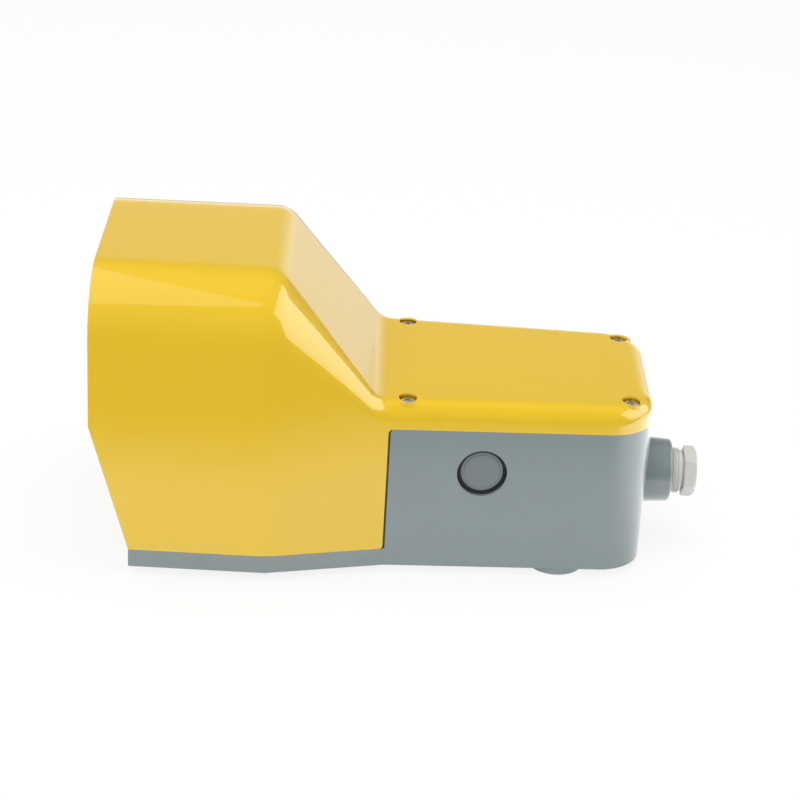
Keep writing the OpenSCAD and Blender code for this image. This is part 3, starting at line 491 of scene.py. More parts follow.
@dataclass(frozen=True)
class Grain:
    """A surface's fine unevenness, as a bump from noise.

    Args:
        pitch: The distance between its grains.
        height: How far the grains stand out.
        detail: How many finer layers are added.
    """

    pitch: float
    height: float
    detail: float = 2.0


@dataclass(frozen=True)
class Finish:
    """A finish with a main colour, a mottle over it and a grain.

    Args:
        name: The material's name.
        colour: The linear main colour.
        other: The linear colour that the mottle leads to.
        mottle_pitch: The size of the mottle's clouds.
        rough: The least and greatest roughness.
        metal: 1 for metal and 0 for anything else.
        coat: The weight of the clear, glossy skin.
        coat_rough: The skin's roughness.
        grain: The surface's grain.
        stretch: How much longer the grain is along Z than across.
        specular: The strength of the reflection under the skin.
    """

    name: str
    colour: tuple[float, float, float]
    other: tuple[float, float, float]
    mottle_pitch: float
    rough: tuple[float, float]
    metal: float = 0.0
    coat: float = 0.0
    coat_rough: float = 0.05
    grain: Grain = Grain(0.4 * MM, 0.01 * MM)
    stretch: float = 1.0
    specular: float = 0.5

    def material(self) -> bpy.types.Material:
        """Builds the finish's material once, and gives it again later.

        Returns:
            The material.
        """
        found = bpy.data.materials.get(self.name)
        if found:
            return found
        material = bpy.data.materials.new(self.name)
        material.use_nodes = True
        tree = Tree(material.node_tree)
        place = tree.add("TexCoord").outputs["Object"]
        mapped = tree.add("Mapping", Vector=place, Scale=(1.0, 1.0, 1.0 / self.stretch)).outputs["Vector"]
        clouds = tree.add("TexNoise", Vector=mapped, Scale=1.0 / self.mottle_pitch, Detail=4.0).outputs["Fac"]
        fine = tree.add(
            "TexNoise", Vector=mapped, Scale=1.0 / self.grain.pitch, Detail=self.grain.detail,
        ).outputs["Fac"]
        colour = tree.mixed(clouds, (*self.colour, 1.0), (*self.other, 1.0), "RGBA")
        rough = tree.add("MapRange", Value=clouds, To_Min=self.rough[0], To_Max=self.rough[1])
        bump = tree.add("Bump", Strength=1.0, Distance=self.grain.height, Height=fine).outputs["Normal"]
        shader = tree.fill(
            material.node_tree.nodes["Principled BSDF"], Base_Color=colour, Metallic=self.metal,
            Roughness=rough.outputs["Result"], Specular_IOR_Level=self.specular, Normal=bump,
            Coat_Weight=self.coat, Coat_Roughness=self.coat_rough,
        )
        if self.coat:
            tree.fill(shader, Coat_Normal=bump)
        return material


YELLOW = Finish(
    "hood_yellow", (0.885, 0.582, 0.014), (0.865, 0.562, 0.011), 60 * MM, (0.34, 0.40),
    coat=1.0, coat_rough=0.03, grain=Grain(5 * MM, 0.010 * MM, 1.0), specular=0.3,
)
GREY = Finish(
    "housing_grey", (0.238, 0.292, 0.296), (0.222, 0.274, 0.278), 30 * MM, (0.34, 0.40),
    coat=0.5, coat_rough=0.12, grain=Grain(0.7 * MM, 0.006 * MM),
)
PLUG_GREY = Finish(
    "plug_grey", (0.20, 0.245, 0.245), (0.18, 0.22, 0.22), 12 * MM, (0.34, 0.42),
    grain=Grain(0.4 * MM, 0.006 * MM),
)
GLAND_GREY = Finish(
    "gland_light_grey", (0.72, 0.72, 0.69), (0.65, 0.65, 0.62), 6 * MM, (0.38, 0.48),
    grain=Grain(0.5 * MM, 0.012 * MM),
)
BLACK_RUBBER = Finish(
    "black_rubber", (0.012, 0.013, 0.014), (0.022, 0.022, 0.022), 5 * MM, (0.42, 0.55),
    grain=Grain(0.35 * MM, 0.012 * MM, 3.0),
)
TREAD_RUBBER = Finish(
    "tread_rubber", (0.018, 0.018, 0.019), (0.034, 0.033, 0.032), 14 * MM, (0.55, 0.72),
    grain=Grain(0.5 * MM, 0.03 * MM, 3.0),
)
PEDAL_BLACK = Finish(
    "pedal_black", (0.028, 0.030, 0.032), (0.040, 0.042, 0.044), 18 * MM, (0.42, 0.52),
    grain=Grain(0.6 * MM, 0.02 * MM, 3.0),
)
ZINC = Finish(
    "zinc_plate", (0.72, 0.67, 0.56), (0.56, 0.50, 0.40), 3 * MM, (0.26, 0.38), metal=0.6,
    grain=Grain(0.25 * MM, 0.006 * MM),
)
BRIGHT_STEEL = Finish(
    "bright_steel", (0.60, 0.61, 0.63), (0.50, 0.51, 0.53), 4 * MM, (0.18, 0.30), metal=1.0,
    grain=Grain(0.2 * MM, 0.004 * MM), stretch=6.0,
)
SPRING_STEEL = Finish(
    "spring_steel", (0.42, 0.43, 0.45), (0.30, 0.31, 0.33), 3 * MM, (0.28, 0.40), metal=1.0,
    grain=Grain(0.2 * MM, 0.005 * MM),
)
BRASS = Finish(
    "turned_brass", (0.70, 0.50, 0.20), (0.58, 0.40, 0.14), 3 * MM, (0.22, 0.34), metal=1.0,
    grain=Grain(0.2 * MM, 0.005 * MM),
)
CONTACT = Finish(
    "contact_strip", (0.72, 0.42, 0.22), (0.60, 0.33, 0.16), 3 * MM, (0.20, 0.34), metal=1.0,
    grain=Grain(0.2 * MM, 0.004 * MM),
)
BUSH_IVORY = Finish(
    "bush_ivory", (0.62, 0.57, 0.42), (0.55, 0.50, 0.36), 5 * MM, (0.40, 0.50),
    grain=Grain(0.3 * MM, 0.008 * MM),
)
BLOCK_BLACK = Finish(
    "block_black", (0.03, 0.03, 0.034), (0.045, 0.045, 0.048), 8 * MM, (0.45, 0.55),
    grain=Grain(0.4 * MM, 0.012 * MM),
)
BLOCK_GREY = Finish(
    "block_grey", (0.45, 0.46, 0.44), (0.40, 0.41, 0.39), 8 * MM, (0.42, 0.52),
    grain=Grain(0.4 * MM, 0.010 * MM),
)
PLUNGER_RED = Finish(
    "plunger_red", (0.52, 0.04, 0.02), (0.44, 0.03, 0.015), 5 * MM, (0.28, 0.36),
    grain=Grain(0.3 * MM, 0.006 * MM),
)


def dressed(obj: bpy.types.Object, node: str, finish: Finish) -> bpy.types.Object:
    """Puts a piece in a node's place, with the node's body and a finish.

    Args:
        obj: The finished piece.
        node: The node that it replaces.
        finish: The piece's finish.

    Returns:
        The same object.
    """
    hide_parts(node)
    obj.data.materials.clear()
    obj.data.materials.append(finish.material())
    record = frame["record"]
    body = next(b for b, nodes in record["behaviour"]["bodies"].items() if node in nodes)
    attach(obj, body)
    LOG.info("%s rides on %s", obj.name, body)
    return obj


# ------------------------------------------------------------------ the hood and cover


@dataclass
class HoodCover:
    """The yellow hood and cover, one moulding from the foot opening to the rear face.

    The sizes are the moulding's own, in metres. Heights that the frame knows are read from it.
    """

    mouth_w: float = 131.5 * MM
    neck_w: float = 106.5 * MM
    tail_w: float = 94 * MM
    tail_r: float = 22 * MM
    crease_x: float = -56 * MM
    sill_x: float = -120.5 * MM
    cover_h: float = 13 * MM
    ridge_x: float = -53.5 * MM
    slope_x: float = -6.2 * MM
    shoulder_r: float = 29.5 * MM
    ridge_r: float = 13 * MM
    slope_r: float = 10 * MM
    cover_r: float = 8.2 * MM
    wall: float = 3 * MM
    skirt_x: float = -1 * MM
    skirt_r: float = 1.8 * MM
    crease_soft: float = 5 * MM
    neck_soft: float = 6 * MM
    shoulder_ease: float = 0.35
    front_screw: tuple[float, float] = (7.2 * MM, 44.5 * MM)
    rear_screw: tuple[float, float] = (112.2 * MM, 36.2 * MM)
    recess_r: float = 4.3 * MM
    recess_h: float = 3.6 * MM
    recess_rim: float = 0.8 * MM
    post_wall: float = 1.7 * MM
    post_hole_r: float = 2.3 * MM
    post_l: float = 6 * MM
    web_edge: float = 0.4 * MM
    edge: float = 0.45 * MM
    seam: float = 0.02 * MM
    bend_room: float = 10 * MM
    ridge_room: float = 4.5 * MM
    slope_room: float = 3.8 * MM
    station_gap: float = 0.35 * MM
    even_steps: int = 10
    fall_steps: int = 12
    bend_steps: int = 8
    ridge_steps: int = 14
    slope_steps: int = 10
    roof_steps: int = 10
    round_steps: int = 18
    wall_steps: int = 6
    corner_steps: int = 20
    low: Vector = field(init=False)
    high: Vector = field(init=False)
    joint_z: float = field(init=False)
    cover_z: float = field(init=False)
    tail_x: float = field(init=False)
    hood_w: float = field(init=False)
    fall: float = field(init=False)
    ridge_c: tuple[float, float] = field(init=False)
    slope_c: tuple[float, float] = field(init=False)
    taper: float = field(init=False)
    corner_x: float = field(init=False)
    corner_y: float = field(init=False)

    def __post_init__(self) -> None:
        """Reads the moulding's outer corners from the frame and works out its side profile."""
        self.low, self.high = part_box("hood_cover")
        self.joint_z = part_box("base_housing")[1].z
        self.cover_z = self.joint_z + self.cover_h
        self.tail_x = self.high.x
        self.hood_w = self.high.y - self.low.y
        self.fall = math.atan2(self.high.z - self.cover_z, self.slope_x - self.ridge_x)
        half_turn = math.tan(self.fall / 2)
        self.ridge_c = (self.ridge_x - self.ridge_r * half_turn, self.high.z - self.ridge_r)
        self.slope_c = (self.slope_x + self.slope_r * half_turn, self.cover_z + self.slope_r)
        self.taper = math.atan2((self.neck_w - self.tail_w) / 2, self.tail_x)
        self.corner_x = self.tail_x - self.tail_r
        self.corner_y = (
            self.neck_w / 2 - self.corner_x * math.tan(self.taper) - self.tail_r / math.cos(self.taper)
        )

    def screw_places(self) -> list[tuple[float, float]]:
        """Gives the places of the cover's screws, seen from above."""
        return [(x, side * y) for x, y in (self.front_screw, self.rear_screw) for side in (1, -1)]

    def half_width(self, x: float) -> float:
        """Gives half the moulding's width at a station, with its creases softened.

        Args:
            x: The station along the part.

        Returns:
            The distance from the middle plane to the wall's outside.
        """
        knots = [
            (self.low.x, self.mouth_w / 2, 0.0),
            (self.crease_x, self.hood_w / 2, self.crease_soft),
            (0.0, self.neck_w / 2, self.neck_soft),
            (self.tail_x, self.tail_w / 2, 0.0),
        ]
        slopes = [(b[1] - a[1]) / (b[0] - a[0]) for a, b in zip(knots, knots[1:])]
        for i, (place, width, soft) in enumerate(knots[1:-1], start=1):
            if abs(x - place) < soft:
                bend = (slopes[i] - slopes[i - 1]) * (x - place + soft) ** 2 / (4 * soft)
                return width + slopes[i - 1] * (x - place) + bend
        for i, slope in enumerate(slopes):
            if x <= knots[i + 1][0]:
                return knots[i][1] + slope * (x - knots[i][0])
        return knots[-1][1]

    def roof_z(self, x: float) -> float:
        """Gives the roof's height at a station.

        Args:
            x: The station along the part.

        Returns:
            The height of the outside.
        """
        line_x = self.ridge_c[0] + self.ridge_r * math.sin(self.fall)
        line_z = self.ridge_c[1] + self.ridge_r * math.cos(self.fall)
        if x <= self.ridge_c[0]:
            return self.high.z
        if x <= line_x:
            return self.ridge_c[1] + math.sqrt(self.ridge_r**2 - (x - self.ridge_c[0]) ** 2)
        if x <= self.slope_c[0] - self.slope_r * math.sin(self.fall):
            return line_z - (x - line_x) * math.tan(self.fall)
        if x < self.slope_c[0]:
            return self.slope_c[1] - math.sqrt(self.slope_r**2 - (x - self.slope_c[0]) ** 2)
        return self.cover_z

    def shoulder(self, x: float) -> float:
        """Gives the rounding between roof and wall at a station.

        Args:
            x: The station along the part.

        Returns:
            The radius of the rounding.
        """
        share = min(max((x - self.ridge_x) / (self.slope_x - self.ridge_x), 0.0), 1.0)
        eased = share * share * (3 - 2 * share) * self.shoulder_ease + share * (1 - self.shoulder_ease)
        return self.shoulder_r + (self.cover_r - self.shoulder_r) * eased

    def stations(self) -> list[float]:
        """Gives the stations along the part up to the rear corners, closer where it bends.

        Returns:
            The stations, from the foot opening back.
        """
        spans = (
            (self.low.x, self.crease_x - self.bend_room, self.even_steps),
            (self.crease_x - self.crease_soft, self.crease_x + self.crease_soft, self.bend_steps),
            (self.ridge_x + self.ridge_room, self.slope_x - self.slope_room, self.fall_steps),
            (-self.neck_soft, self.neck_soft, self.bend_steps),
            (self.bend_room, self.corner_x, self.even_steps),
        )
        marks = [self.skirt_x, self.corner_x]
        for start, end, steps in spans:
            marks += self._even(start, end, steps)
        for centre, reach, steps in (
            (self.ridge_c[0], self.ridge_r, self.ridge_steps),
            (self.slope_c[0], -self.slope_r, self.slope_steps),
        ):
            marks += [centre + reach * math.sin(self.fall * i / steps) for i in range(steps + 1)]
        marks.sort()
        kept = [marks[0]]
        for mark in marks[1:]:
            if mark in (self.skirt_x, self.corner_x):
                if mark - kept[-1] <= self.station_gap:
                    kept.pop()
                kept.append(mark)
            elif mark - kept[-1] > self.station_gap:
                kept.append(mark)
        return kept

    @staticmethod
    def _even(start: float, end: float, steps: int) -> list[float]:
        """Gives evenly spaced marks, both ends included."""
        return [start + (end - start) * i / steps for i in range(steps + 1)]

    def _down(self, z_top: float, radius: float) -> list[tuple[float, float]]:
        """Gives the rounding and wall as (inset, height) pairs, from the roof's edge down.

        Args:
            z_top: The roof's height.
            radius: The rounding's radius.

        Returns:
            The pairs, down to the sill.
        """
        points = []
        for i in range(self.round_steps + 1):
            turn = math.pi / 2 * i / self.round_steps
            points.append((radius * (1 - math.sin(turn)), z_top - radius * (1 - math.cos(turn))))
        wall = (z_top - radius, self.joint_z, self.low.z)
        for start, end in zip(wall, wall[1:]):
            points += [(0.0, z) for z in self._even(start, end, self.wall_steps)[1:]]
        return points

    @staticmethod
    def _grid(name: str, rows: list[list[Vector]]) -> bpy.types.Object:
        """Lays a grid over rows of points.

        Args:
            name: The grid's name.
            rows: Rows of points, all of one length.

        Returns:
            The new object.
        """
        across, along = len(rows[0]) - 1, len(rows) - 1
        bpy.ops.object.select_all(action="DESELECT")
        bpy.ops.mesh.primitive_grid_add(x_subdivisions=across, y_subdivisions=along, size=1)
        grid = bpy.context.object
        for vertex in grid.data.vertices:
            column = round((vertex.co.x + 0.5) * across)
            row = round((vertex.co.y + 0.5) * along)
            vertex.co = rows[row][column]
        return settle(grid, name)

    def _half(self) -> bpy.types.Object:
        """Models the near half of the moulding's outside.

        Returns:
            The half, as a thin sheet.
        """
        rows = []
        for x in self.stations():
            width, top, radius = self.half_width(x), self.roof_z(x), self.shoulder(x)
            edge = width - radius
            roof = [Vector((x, -edge * i / self.roof_steps, top)) for i in range(self.roof_steps)]
            rows.append(roof + [Vector((x, -(width - inset), z)) for inset, z in self._down(top, radius)])
        start = math.pi / 2 - self.taper
        for i in range(1, self.corner_steps + 1):
            turn = start * (1 - i / self.corner_steps)
            way = Vector((math.cos(turn), -math.sin(turn), 0))
            centre = Vector((self.corner_x, -self.corner_y, 0))
            inner = centre + way * (self.tail_r - self.cover_r)
            roof = [
                Vector((inner.x, inner.y * j / self.roof_steps, self.cover_z)) for j in range(self.roof_steps)
            ]
            rows.append(roof + [
                centre + way * (self.tail_r - inset) + Vector((0, 0, z))
                for inset, z in self._down(self.cover_z, self.cover_r)
            ])
        rear = [
            [Vector((self.tail_x - inset, -self.corner_y * j / self.roof_steps, z))
             for inset, z in self._down(self.cover_z, self.cover_r)]
            for j in range(self.roof_steps + 1)
        ]
        sides = self._grid("hood_sides", rows)
        tail = self._grid("hood_tail", rear)
        return merged(joined("hood_half", [sides, tail]), self.seam)

    def _trim(self, shell: bpy.types.Object) -> bpy.types.Object:
        """Cuts the rim of the foot opening.

        Args:
            shell: The sheet to cut.

        Returns:
            The same object.
        """
        outward = Vector((self.low.z - self.joint_z, 0, self.low.x - self.sill_x)).normalized()
        return edited(shell, lambda: bpy.ops.mesh.bisect(
            plane_co=(self.sill_x, 0, self.low.z), plane_no=outward, clear_outer=True,
            threshold=0.001 * MM,
        ))

    def _housing_room(self) -> bpy.types.Object:
        """Models the cutter for the housing's room, which rounds the skirt's rear corners.

        Returns:
            The cutter.
        """
        r, x, deep, below = self.skirt_r, self.skirt_x, 20 * MM, self.low.z - 1 * MM
        outline = [(x - r - deep, self.low.z - deep), (x - r - deep, below), (x - r, below)]
        outline += arc((x - r, self.low.z + r), r, -90, 0)
        outline += arc((x + r, self.joint_z - r), r, 180, 90)
        outline += [(self.tail_x + deep, self.joint_z), (self.tail_x + deep, self.low.z - deep)]
        mesh = bpy.data.meshes.new("housing_room")
        half = self.hood_w
        mesh.from_pydata([(px, -half, pz) for px, pz in outline], [], [tuple(range(len(outline)))])
        room = linked("housing_room", mesh)
        edited(room, lambda: bpy.ops.mesh.extrude_region_move(
            TRANSFORM_OT_translate={"value": (0, 2 * half, 0)}
        ))
        return merged(room)

    def _web(self) -> bpy.types.Object:
        """Models the web that closes the cover's room towards the foot opening.

        Returns:
            The web.
        """
        wall, half = self.wall, self.half_width(0.0) - self.wall
        top = self.cover_z - wall * 0.6
        return block("hood_web", (-wall, -half, self.joint_z), (wall, half, top), self.web_edge)

    def _seat(self, place: tuple[float, float]) -> bpy.types.Object:
        """Models the post under one cover screw, with its sunk seat.

        Args:
            place: The screw's place, seen from above.

        Returns:
            The post.
        """
        floor, lip = self.cover_z - self.recess_h, self.cover_z - self.recess_rim
        outer, hole, foot = self.recess_r + self.post_wall, self.post_hole_r, floor - self.post_l
        return turned("screw_post", [
            (hole, foot), (outer, foot), (outer, lip), (self.recess_r + 0.05 * MM, lip),
            (self.recess_r, lip - 0.2 * MM), (self.recess_r, floor), (hole, floor), (hole, foot),
        ], (*place, 0.0), steps=48)

    def build(self) -> bpy.types.Object:
        """Models the moulding and puts it in the frame's node's place.

        Returns:
            The finished piece.
        """
        shell = self._half()
        modify(shell, "MIRROR", use_axis=(False, True, False), merge_threshold=self.seam)
        merged(shell, self.seam)
        self._trim(shell)
        modify(shell, "SOLIDIFY", thickness=self.wall, offset=-1.0, use_even_offset=True, use_rim=True)
        merged(shell, 0.005 * MM)
        cut(shell, self._housing_room())
        under = self.cover_z - 8 * MM
        for place in self.screw_places():
            cut(shell, cylinder("recess", self.recess_r, (*place, under), 20 * MM, sides=48))
        modify(
            shell, "BEVEL", width=self.edge, segments=3, limit_method="ANGLE",
            angle_limit=math.radians(50), use_clamp_overlap=True, harden_normals=False,
        )
        smooth(shell, 40)
        extras = [self._web(), *[self._seat(place) for place in self.screw_places()]]
        for piece in extras:
            smooth(piece)
        shell = joined("hood_cover_shell", [shell, *extras])
        return dressed(shell, "hood_cover", YELLOW)


# ------------------------------------------------------------------ housing, feet and entries


@dataclass
class Housing:
    """The grey base and housing, with its rubber feet."""

    edge: float = 0.45 * MM
    pad_edge: float = 0.8 * MM

    def build(self) -> None:
        """Models the housing and the pads, and dresses both."""
        dressed(copied("base_housing", "base_housing_shell", self.edge), "base_housing", GREY)
        self._pads()

    def _pads(self) -> None:
        """Models the ring-shaped rubber pads in the four feet."""
        low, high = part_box("foot_pads")
        mounts = {m["name"]: m for m in frame["record"]["mounts"]}
        dims = mounts["floor_holes"]["dims"]
        across, along = dims["spacing_x_mm"] / 2 * MM, dims["spacing_y_mm"] / 2 * MM
        outer, hole, top = high.x - across, dims["hole_r_mm"] * MM, high.z
        edge = self.pad_edge
        profile = [(hole, top), (hole, low.z), (outer - edge, low.z)]
        profile += arc((outer - edge, low.z + edge), edge, -90, 0)[1:] + [(outer, top), (hole, top)]
        pads = [
            turned("pad", profile, (sx * across, sy * along, 0.0)) for sx in (-1, 1) for sy in (-1, 1)
        ]
        dressed(smooth(joined("foot_pad_rings", pads)), "foot_pads", BLACK_RUBBER)


@dataclass
class SideEntries:
    """The blanking plug and rubber ring in each side entry."""

    plug_r: float = 10.1 * MM
    step_r: float = 8.7 * MM
    step_h: float = 0.35 * MM
    soft: float = 0.5 * MM
    neck: float = 1.8 * MM
    neck_l: float = 10 * MM
    flange: float = 1.6 * MM
    ring_sink: float = 0.3 * MM
    side_x: float = 43.9 * MM

    def build(self) -> None:
        """Models both plugs and both rings, each pair as one piece."""
        low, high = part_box("side_plugs")
        centre_z = (low.z + high.z) / 2
        plugs, rings = [], []
        for side in Side:
            plugs.append(self._placed(self._plug(), side, high.y, centre_z))
            rings.append(self._placed(self._ring(), side, high.y, centre_z))
        dressed(smooth(joined("side_plug_discs", plugs)), "side_plugs", PLUG_GREY)
        dressed(smooth(joined("side_plug_rings", rings)), "side_plug_seals", BLACK_RUBBER)

    def _placed(self, obj: bpy.types.Object, side: Side, face_y: float, z: float) -> bpy.types.Object:
        """Puts a piece that was made on the Z axis into one side's entry.

        Args:
            obj: The piece.
            side: The side that it goes on.
            face_y: The entry's distance from the middle plane.
            z: The entry's height.

        Returns:
            The same object.
        """
        lean = HoodCover().taper * side.value
        obj.rotation_euler = (-side.value * math.pi / 2, 0, -lean)
        obj.location = (self.side_x, side.value * (face_y - 0.05 * MM), z)
        return settle(obj, obj.name)

    def _plug(self) -> bpy.types.Object:
        """Models a plug with a shallow raised centre, its face at z = 0.

        Returns:
            The plug.
        """
        r, s, h, soft = self.plug_r, self.step_r, self.step_h, self.soft
        neck_r = r - self.neck
        profile = [(0, -self.neck_l), (neck_r, -self.neck_l), (neck_r, -self.flange), (r, -self.flange)]
        profile += arc((r - soft, -h - soft), soft, 0, 90)
        profile += [(s + 0.3 * MM, -h), *arc((s - soft / 2, -soft / 2), soft / 2, 10, 90), (0, 0)]
        return turned("plug", profile)

    def _ring(self) -> bpy.types.Object:
        """Models the rubber ring round a plug, its face a little below z = 0.

        Returns:
            The ring.
        """
        low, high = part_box("side_plug_seals")
        outer = (high.z - low.z) / 2
        inner = self.plug_r + 0.05 * MM
        middle, soft = (outer + inner) / 2, (outer - inner) / 2
        shoulder = -self.ring_sink - soft * 0.4
        profile = [(inner, -self.flange), (outer, -self.flange), (outer, shoulder)]
        profile += arc((middle, shoulder), soft, 0, 180)[1:] + [(inner, -self.flange)]
        return turned("ring", profile)


@dataclass
class CableGland:
    """The gland screw, with its thread and hexagon head."""

    thread_r: float = 11.25 * MM
    core_r: float = 10.45 * MM
    pitch: float = 1.4 * MM
    ridge: float = 0.46
    root_sink: float = 0.15 * MM
    flank_rise: float = 0.85
    flank_w: float = 0.30
    crest_w: float = 0.12
    thread_steps: int = 64
    bore_r: float = 7.25 * MM
    head_l: float = 6.2 * MM
    flats: float = 22 * MM
    head_turn: float = math.radians(12)
    corner: float = 0.5 * MM
    chamfer: float = 1.6 * MM
    edge: float = 0.25 * MM
    overlap: float = 1 * MM
    neck_l: float = 1.1 * MM
    neck_r: float = 8.6 * MM

    def build(self) -> bpy.types.Object:
        """Models the gland screw and puts it in its node's place.

        Returns:
            The finished piece.
        """
        low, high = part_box("gland_screw")
        centre = (0.0, 0.0, (low.z + high.z) / 2)
        head_x = high.x - self.head_l
        pieces = [
            smooth(self._shank(low.x, head_x)), smooth(self._thread(low.x, head_x)),
            smooth(self._head(head_x, high.x)),
        ]
        screw = joined("gland_screw_body", pieces)
        screw.location = centre
        settle(screw, "gland_screw_body")
        return dressed(screw, "gland_screw", GLAND_GREY)

    def _shank(self, start: float, head_x: float) -> bpy.types.Object:
        """Models the hollow core under the thread, on the X axis.

        Args:
            start: The core's first end.
            head_x: Where the head starts.

        Returns:
            The core.
        """
        neck_x, end_x = head_x - self.neck_l, head_x + self.overlap
        return turned("core", [
            (self.bore_r, start), (self.core_r, start), (self.core_r, neck_x), (self.neck_r, neck_x),
            (self.neck_r, end_x), (self.bore_r, end_x), (self.bore_r, start),
        ], axis=Axis.X)

    def _thread(self, start: float, head_x: float) -> bpy.types.Object:
        """Models the thread as a helix of a pointed profile, on the X axis.

        Args:
            start: The thread's first end.
            head_x: Where the head starts.

        Returns:
            The thread.
        """
        root, crest, half = self.core_r - self.root_sink, self.thread_r, self.pitch * self.ridge
        flank = self.core_r + (crest - self.core_r) * self.flank_rise
        rising = [(root, 0, -half), (flank, 0, -half * self.flank_w), (crest, 0, -half * self.crest_w)]
        points = rising + [(r, y, -x) for r, y, x in reversed(rising)]
        mesh = bpy.data.meshes.new("thread")
        mesh.from_pydata(points, [(i, (i + 1) % len(points)) for i in range(len(points))], [])
        thread = linked("thread", mesh)
        turns = int((head_x - start - self.neck_l - self.pitch) / self.pitch)
        modify(thread, "SCREW", angle=math.tau, screw_offset=self.pitch, iterations=turns,
               steps=self.thread_steps, render_steps=self.thread_steps, use_smooth_shade=True)
        alone(thread)
        bpy.ops.object.mode_set(mode="EDIT")
        bpy.ops.mesh.select_all(action="DESELECT")
        bpy.ops.mesh.select_non_manifold()
        bpy.ops.mesh.edge_face_add()
        bpy.ops.object.mode_set(mode="OBJECT")
        merged(thread)
        thread.rotation_euler = Axis.X.value
        thread.location = (start + self.pitch * 0.5, 0, 0)
        return settle(thread, "thread")

    def _head(self, head_x: float, end_x: float) -> bpy.types.Object:
        """Models the hexagon head with chamfered corners and a bored centre, on the X axis.

        Args:
            head_x: Where the head starts.
            end_x: Where it ends.

        Returns:
            The head.
        """
        full, start = self.flats / math.sqrt(3), head_x - self.overlap
        head = cylinder("head", full, (head_x, 0, 0), end_x - head_x, Axis.X, sides=6)
        head.rotation_euler = (self.head_turn, 0, 0)
        settle(head, "head")
        modify(head, "BEVEL", width=self.corner, segments=3)
        dome = turned("dome", [
            (0, start), (full + 1 * MM, start), (full + 1 * MM, head_x),
            (full + 0.2 * MM, end_x - self.chamfer), (self.flats / 2 - 0.3 * MM, end_x), (0, end_x),
        ], axis=Axis.X)
        cut(head, dome, "INTERSECT")
        cut(head, cylinder("bore", self.bore_r, (start, 0, 0), 10 * MM, Axis.X))
        return modify(head, "BEVEL", width=self.edge, segments=2, limit_method="ANGLE",
                      angle_limit=math.radians(30))


@dataclass
class CoverScrews:
    """The pan head screws, with cross recesses, that hold the cover."""

    thread_r: float = 2 * MM
    tip: float = 0.5 * MM
    length: float = 17.4 * MM
    head_r: float = 3.7 * MM
    head_h: float = 2.6 * MM
    head_edge: float = 0.15 * MM
    dome: float = 0.55
    slot_l: float = 0.56
    slot_w: float = 0.15
    slot_h: float = 0.62
    first_turn: float = 0.35
    next_turn: float = 0.5
    clear: float = 0.02 * MM

    def _screw(self) -> bpy.types.Object:
        """Models one screw that points down, its head's underside at the origin.

        Returns:
            The screw.
        """
        r, h, t, end = self.head_r, self.head_h, self.thread_r, -self.length
        profile = [(0, end), (t * 0.7, end), (t, end + self.tip), (t, 0), (r - self.head_edge, 0)]
        profile.append((r, self.head_edge))
        for i in range(9):
            turn = math.pi / 2 * i / 8
            profile.append((r * math.cos(turn), h - self.dome * h * (1 - math.sin(turn))))
        screw = turned("cover_screw", profile, steps=48)
        arm, slot, floor = r * self.slot_l, r * self.slot_w, h * (1 - self.slot_h)
        for turn in (0, math.pi / 2):
            tool = block("slot", (-arm, -slot, floor), (arm, slot, h + 1 * MM))
            tool.rotation_euler = (0, 0, turn)
            cut(screw, settle(tool, "slot"))
        return smooth(modify(screw, "BEVEL", width=0.08 * MM, segments=2, limit_method="ANGLE",
                             angle_limit=math.radians(50)))

    def build(self, hood: HoodCover) -> bpy.types.Object:
        """Models one screw, copies it into each recess of the cover, and joins the copies.

        Args:
            hood: The moulding that the screws hold.

        Returns:
            The finished piece.
        """
        first = self._screw()
        seat_z = hood.cover_z - hood.recess_h + self.clear
        copies = []
        for i, place in enumerate(hood.screw_places()):
            one = linked("screw", first.data.copy())
            one.rotation_euler = (0, 0, self.first_turn + self.next_turn * i)
            one.location = (*place, seat_z)
            copies.append(settle(one, "screw"))
        bpy.data.objects.remove(first)
        return dressed(joined("cover_screw_set", copies), "cover_screws", ZINC)


# ------------------------------------------------------------------ pedal and spring


@dataclass
class Pedal:
    """The pedal's plate and tread."""

    edge: float = 0.5 * MM
    tread_edge: float = 0.25 * MM
    tread_angle: float = 25

    def build(self) -> None:
        """Models the pedal's pieces from their nodes."""
        dressed(copied("pedal_plate", "pedal_plate_body", self.edge), "pedal_plate", PEDAL_BLACK)
        tread = copied("pedal_tread", "pedal_tread_pad", self.tread_edge, self.tread_angle)
        dressed(tread, "pedal_tread", TREAD_RUBBER)


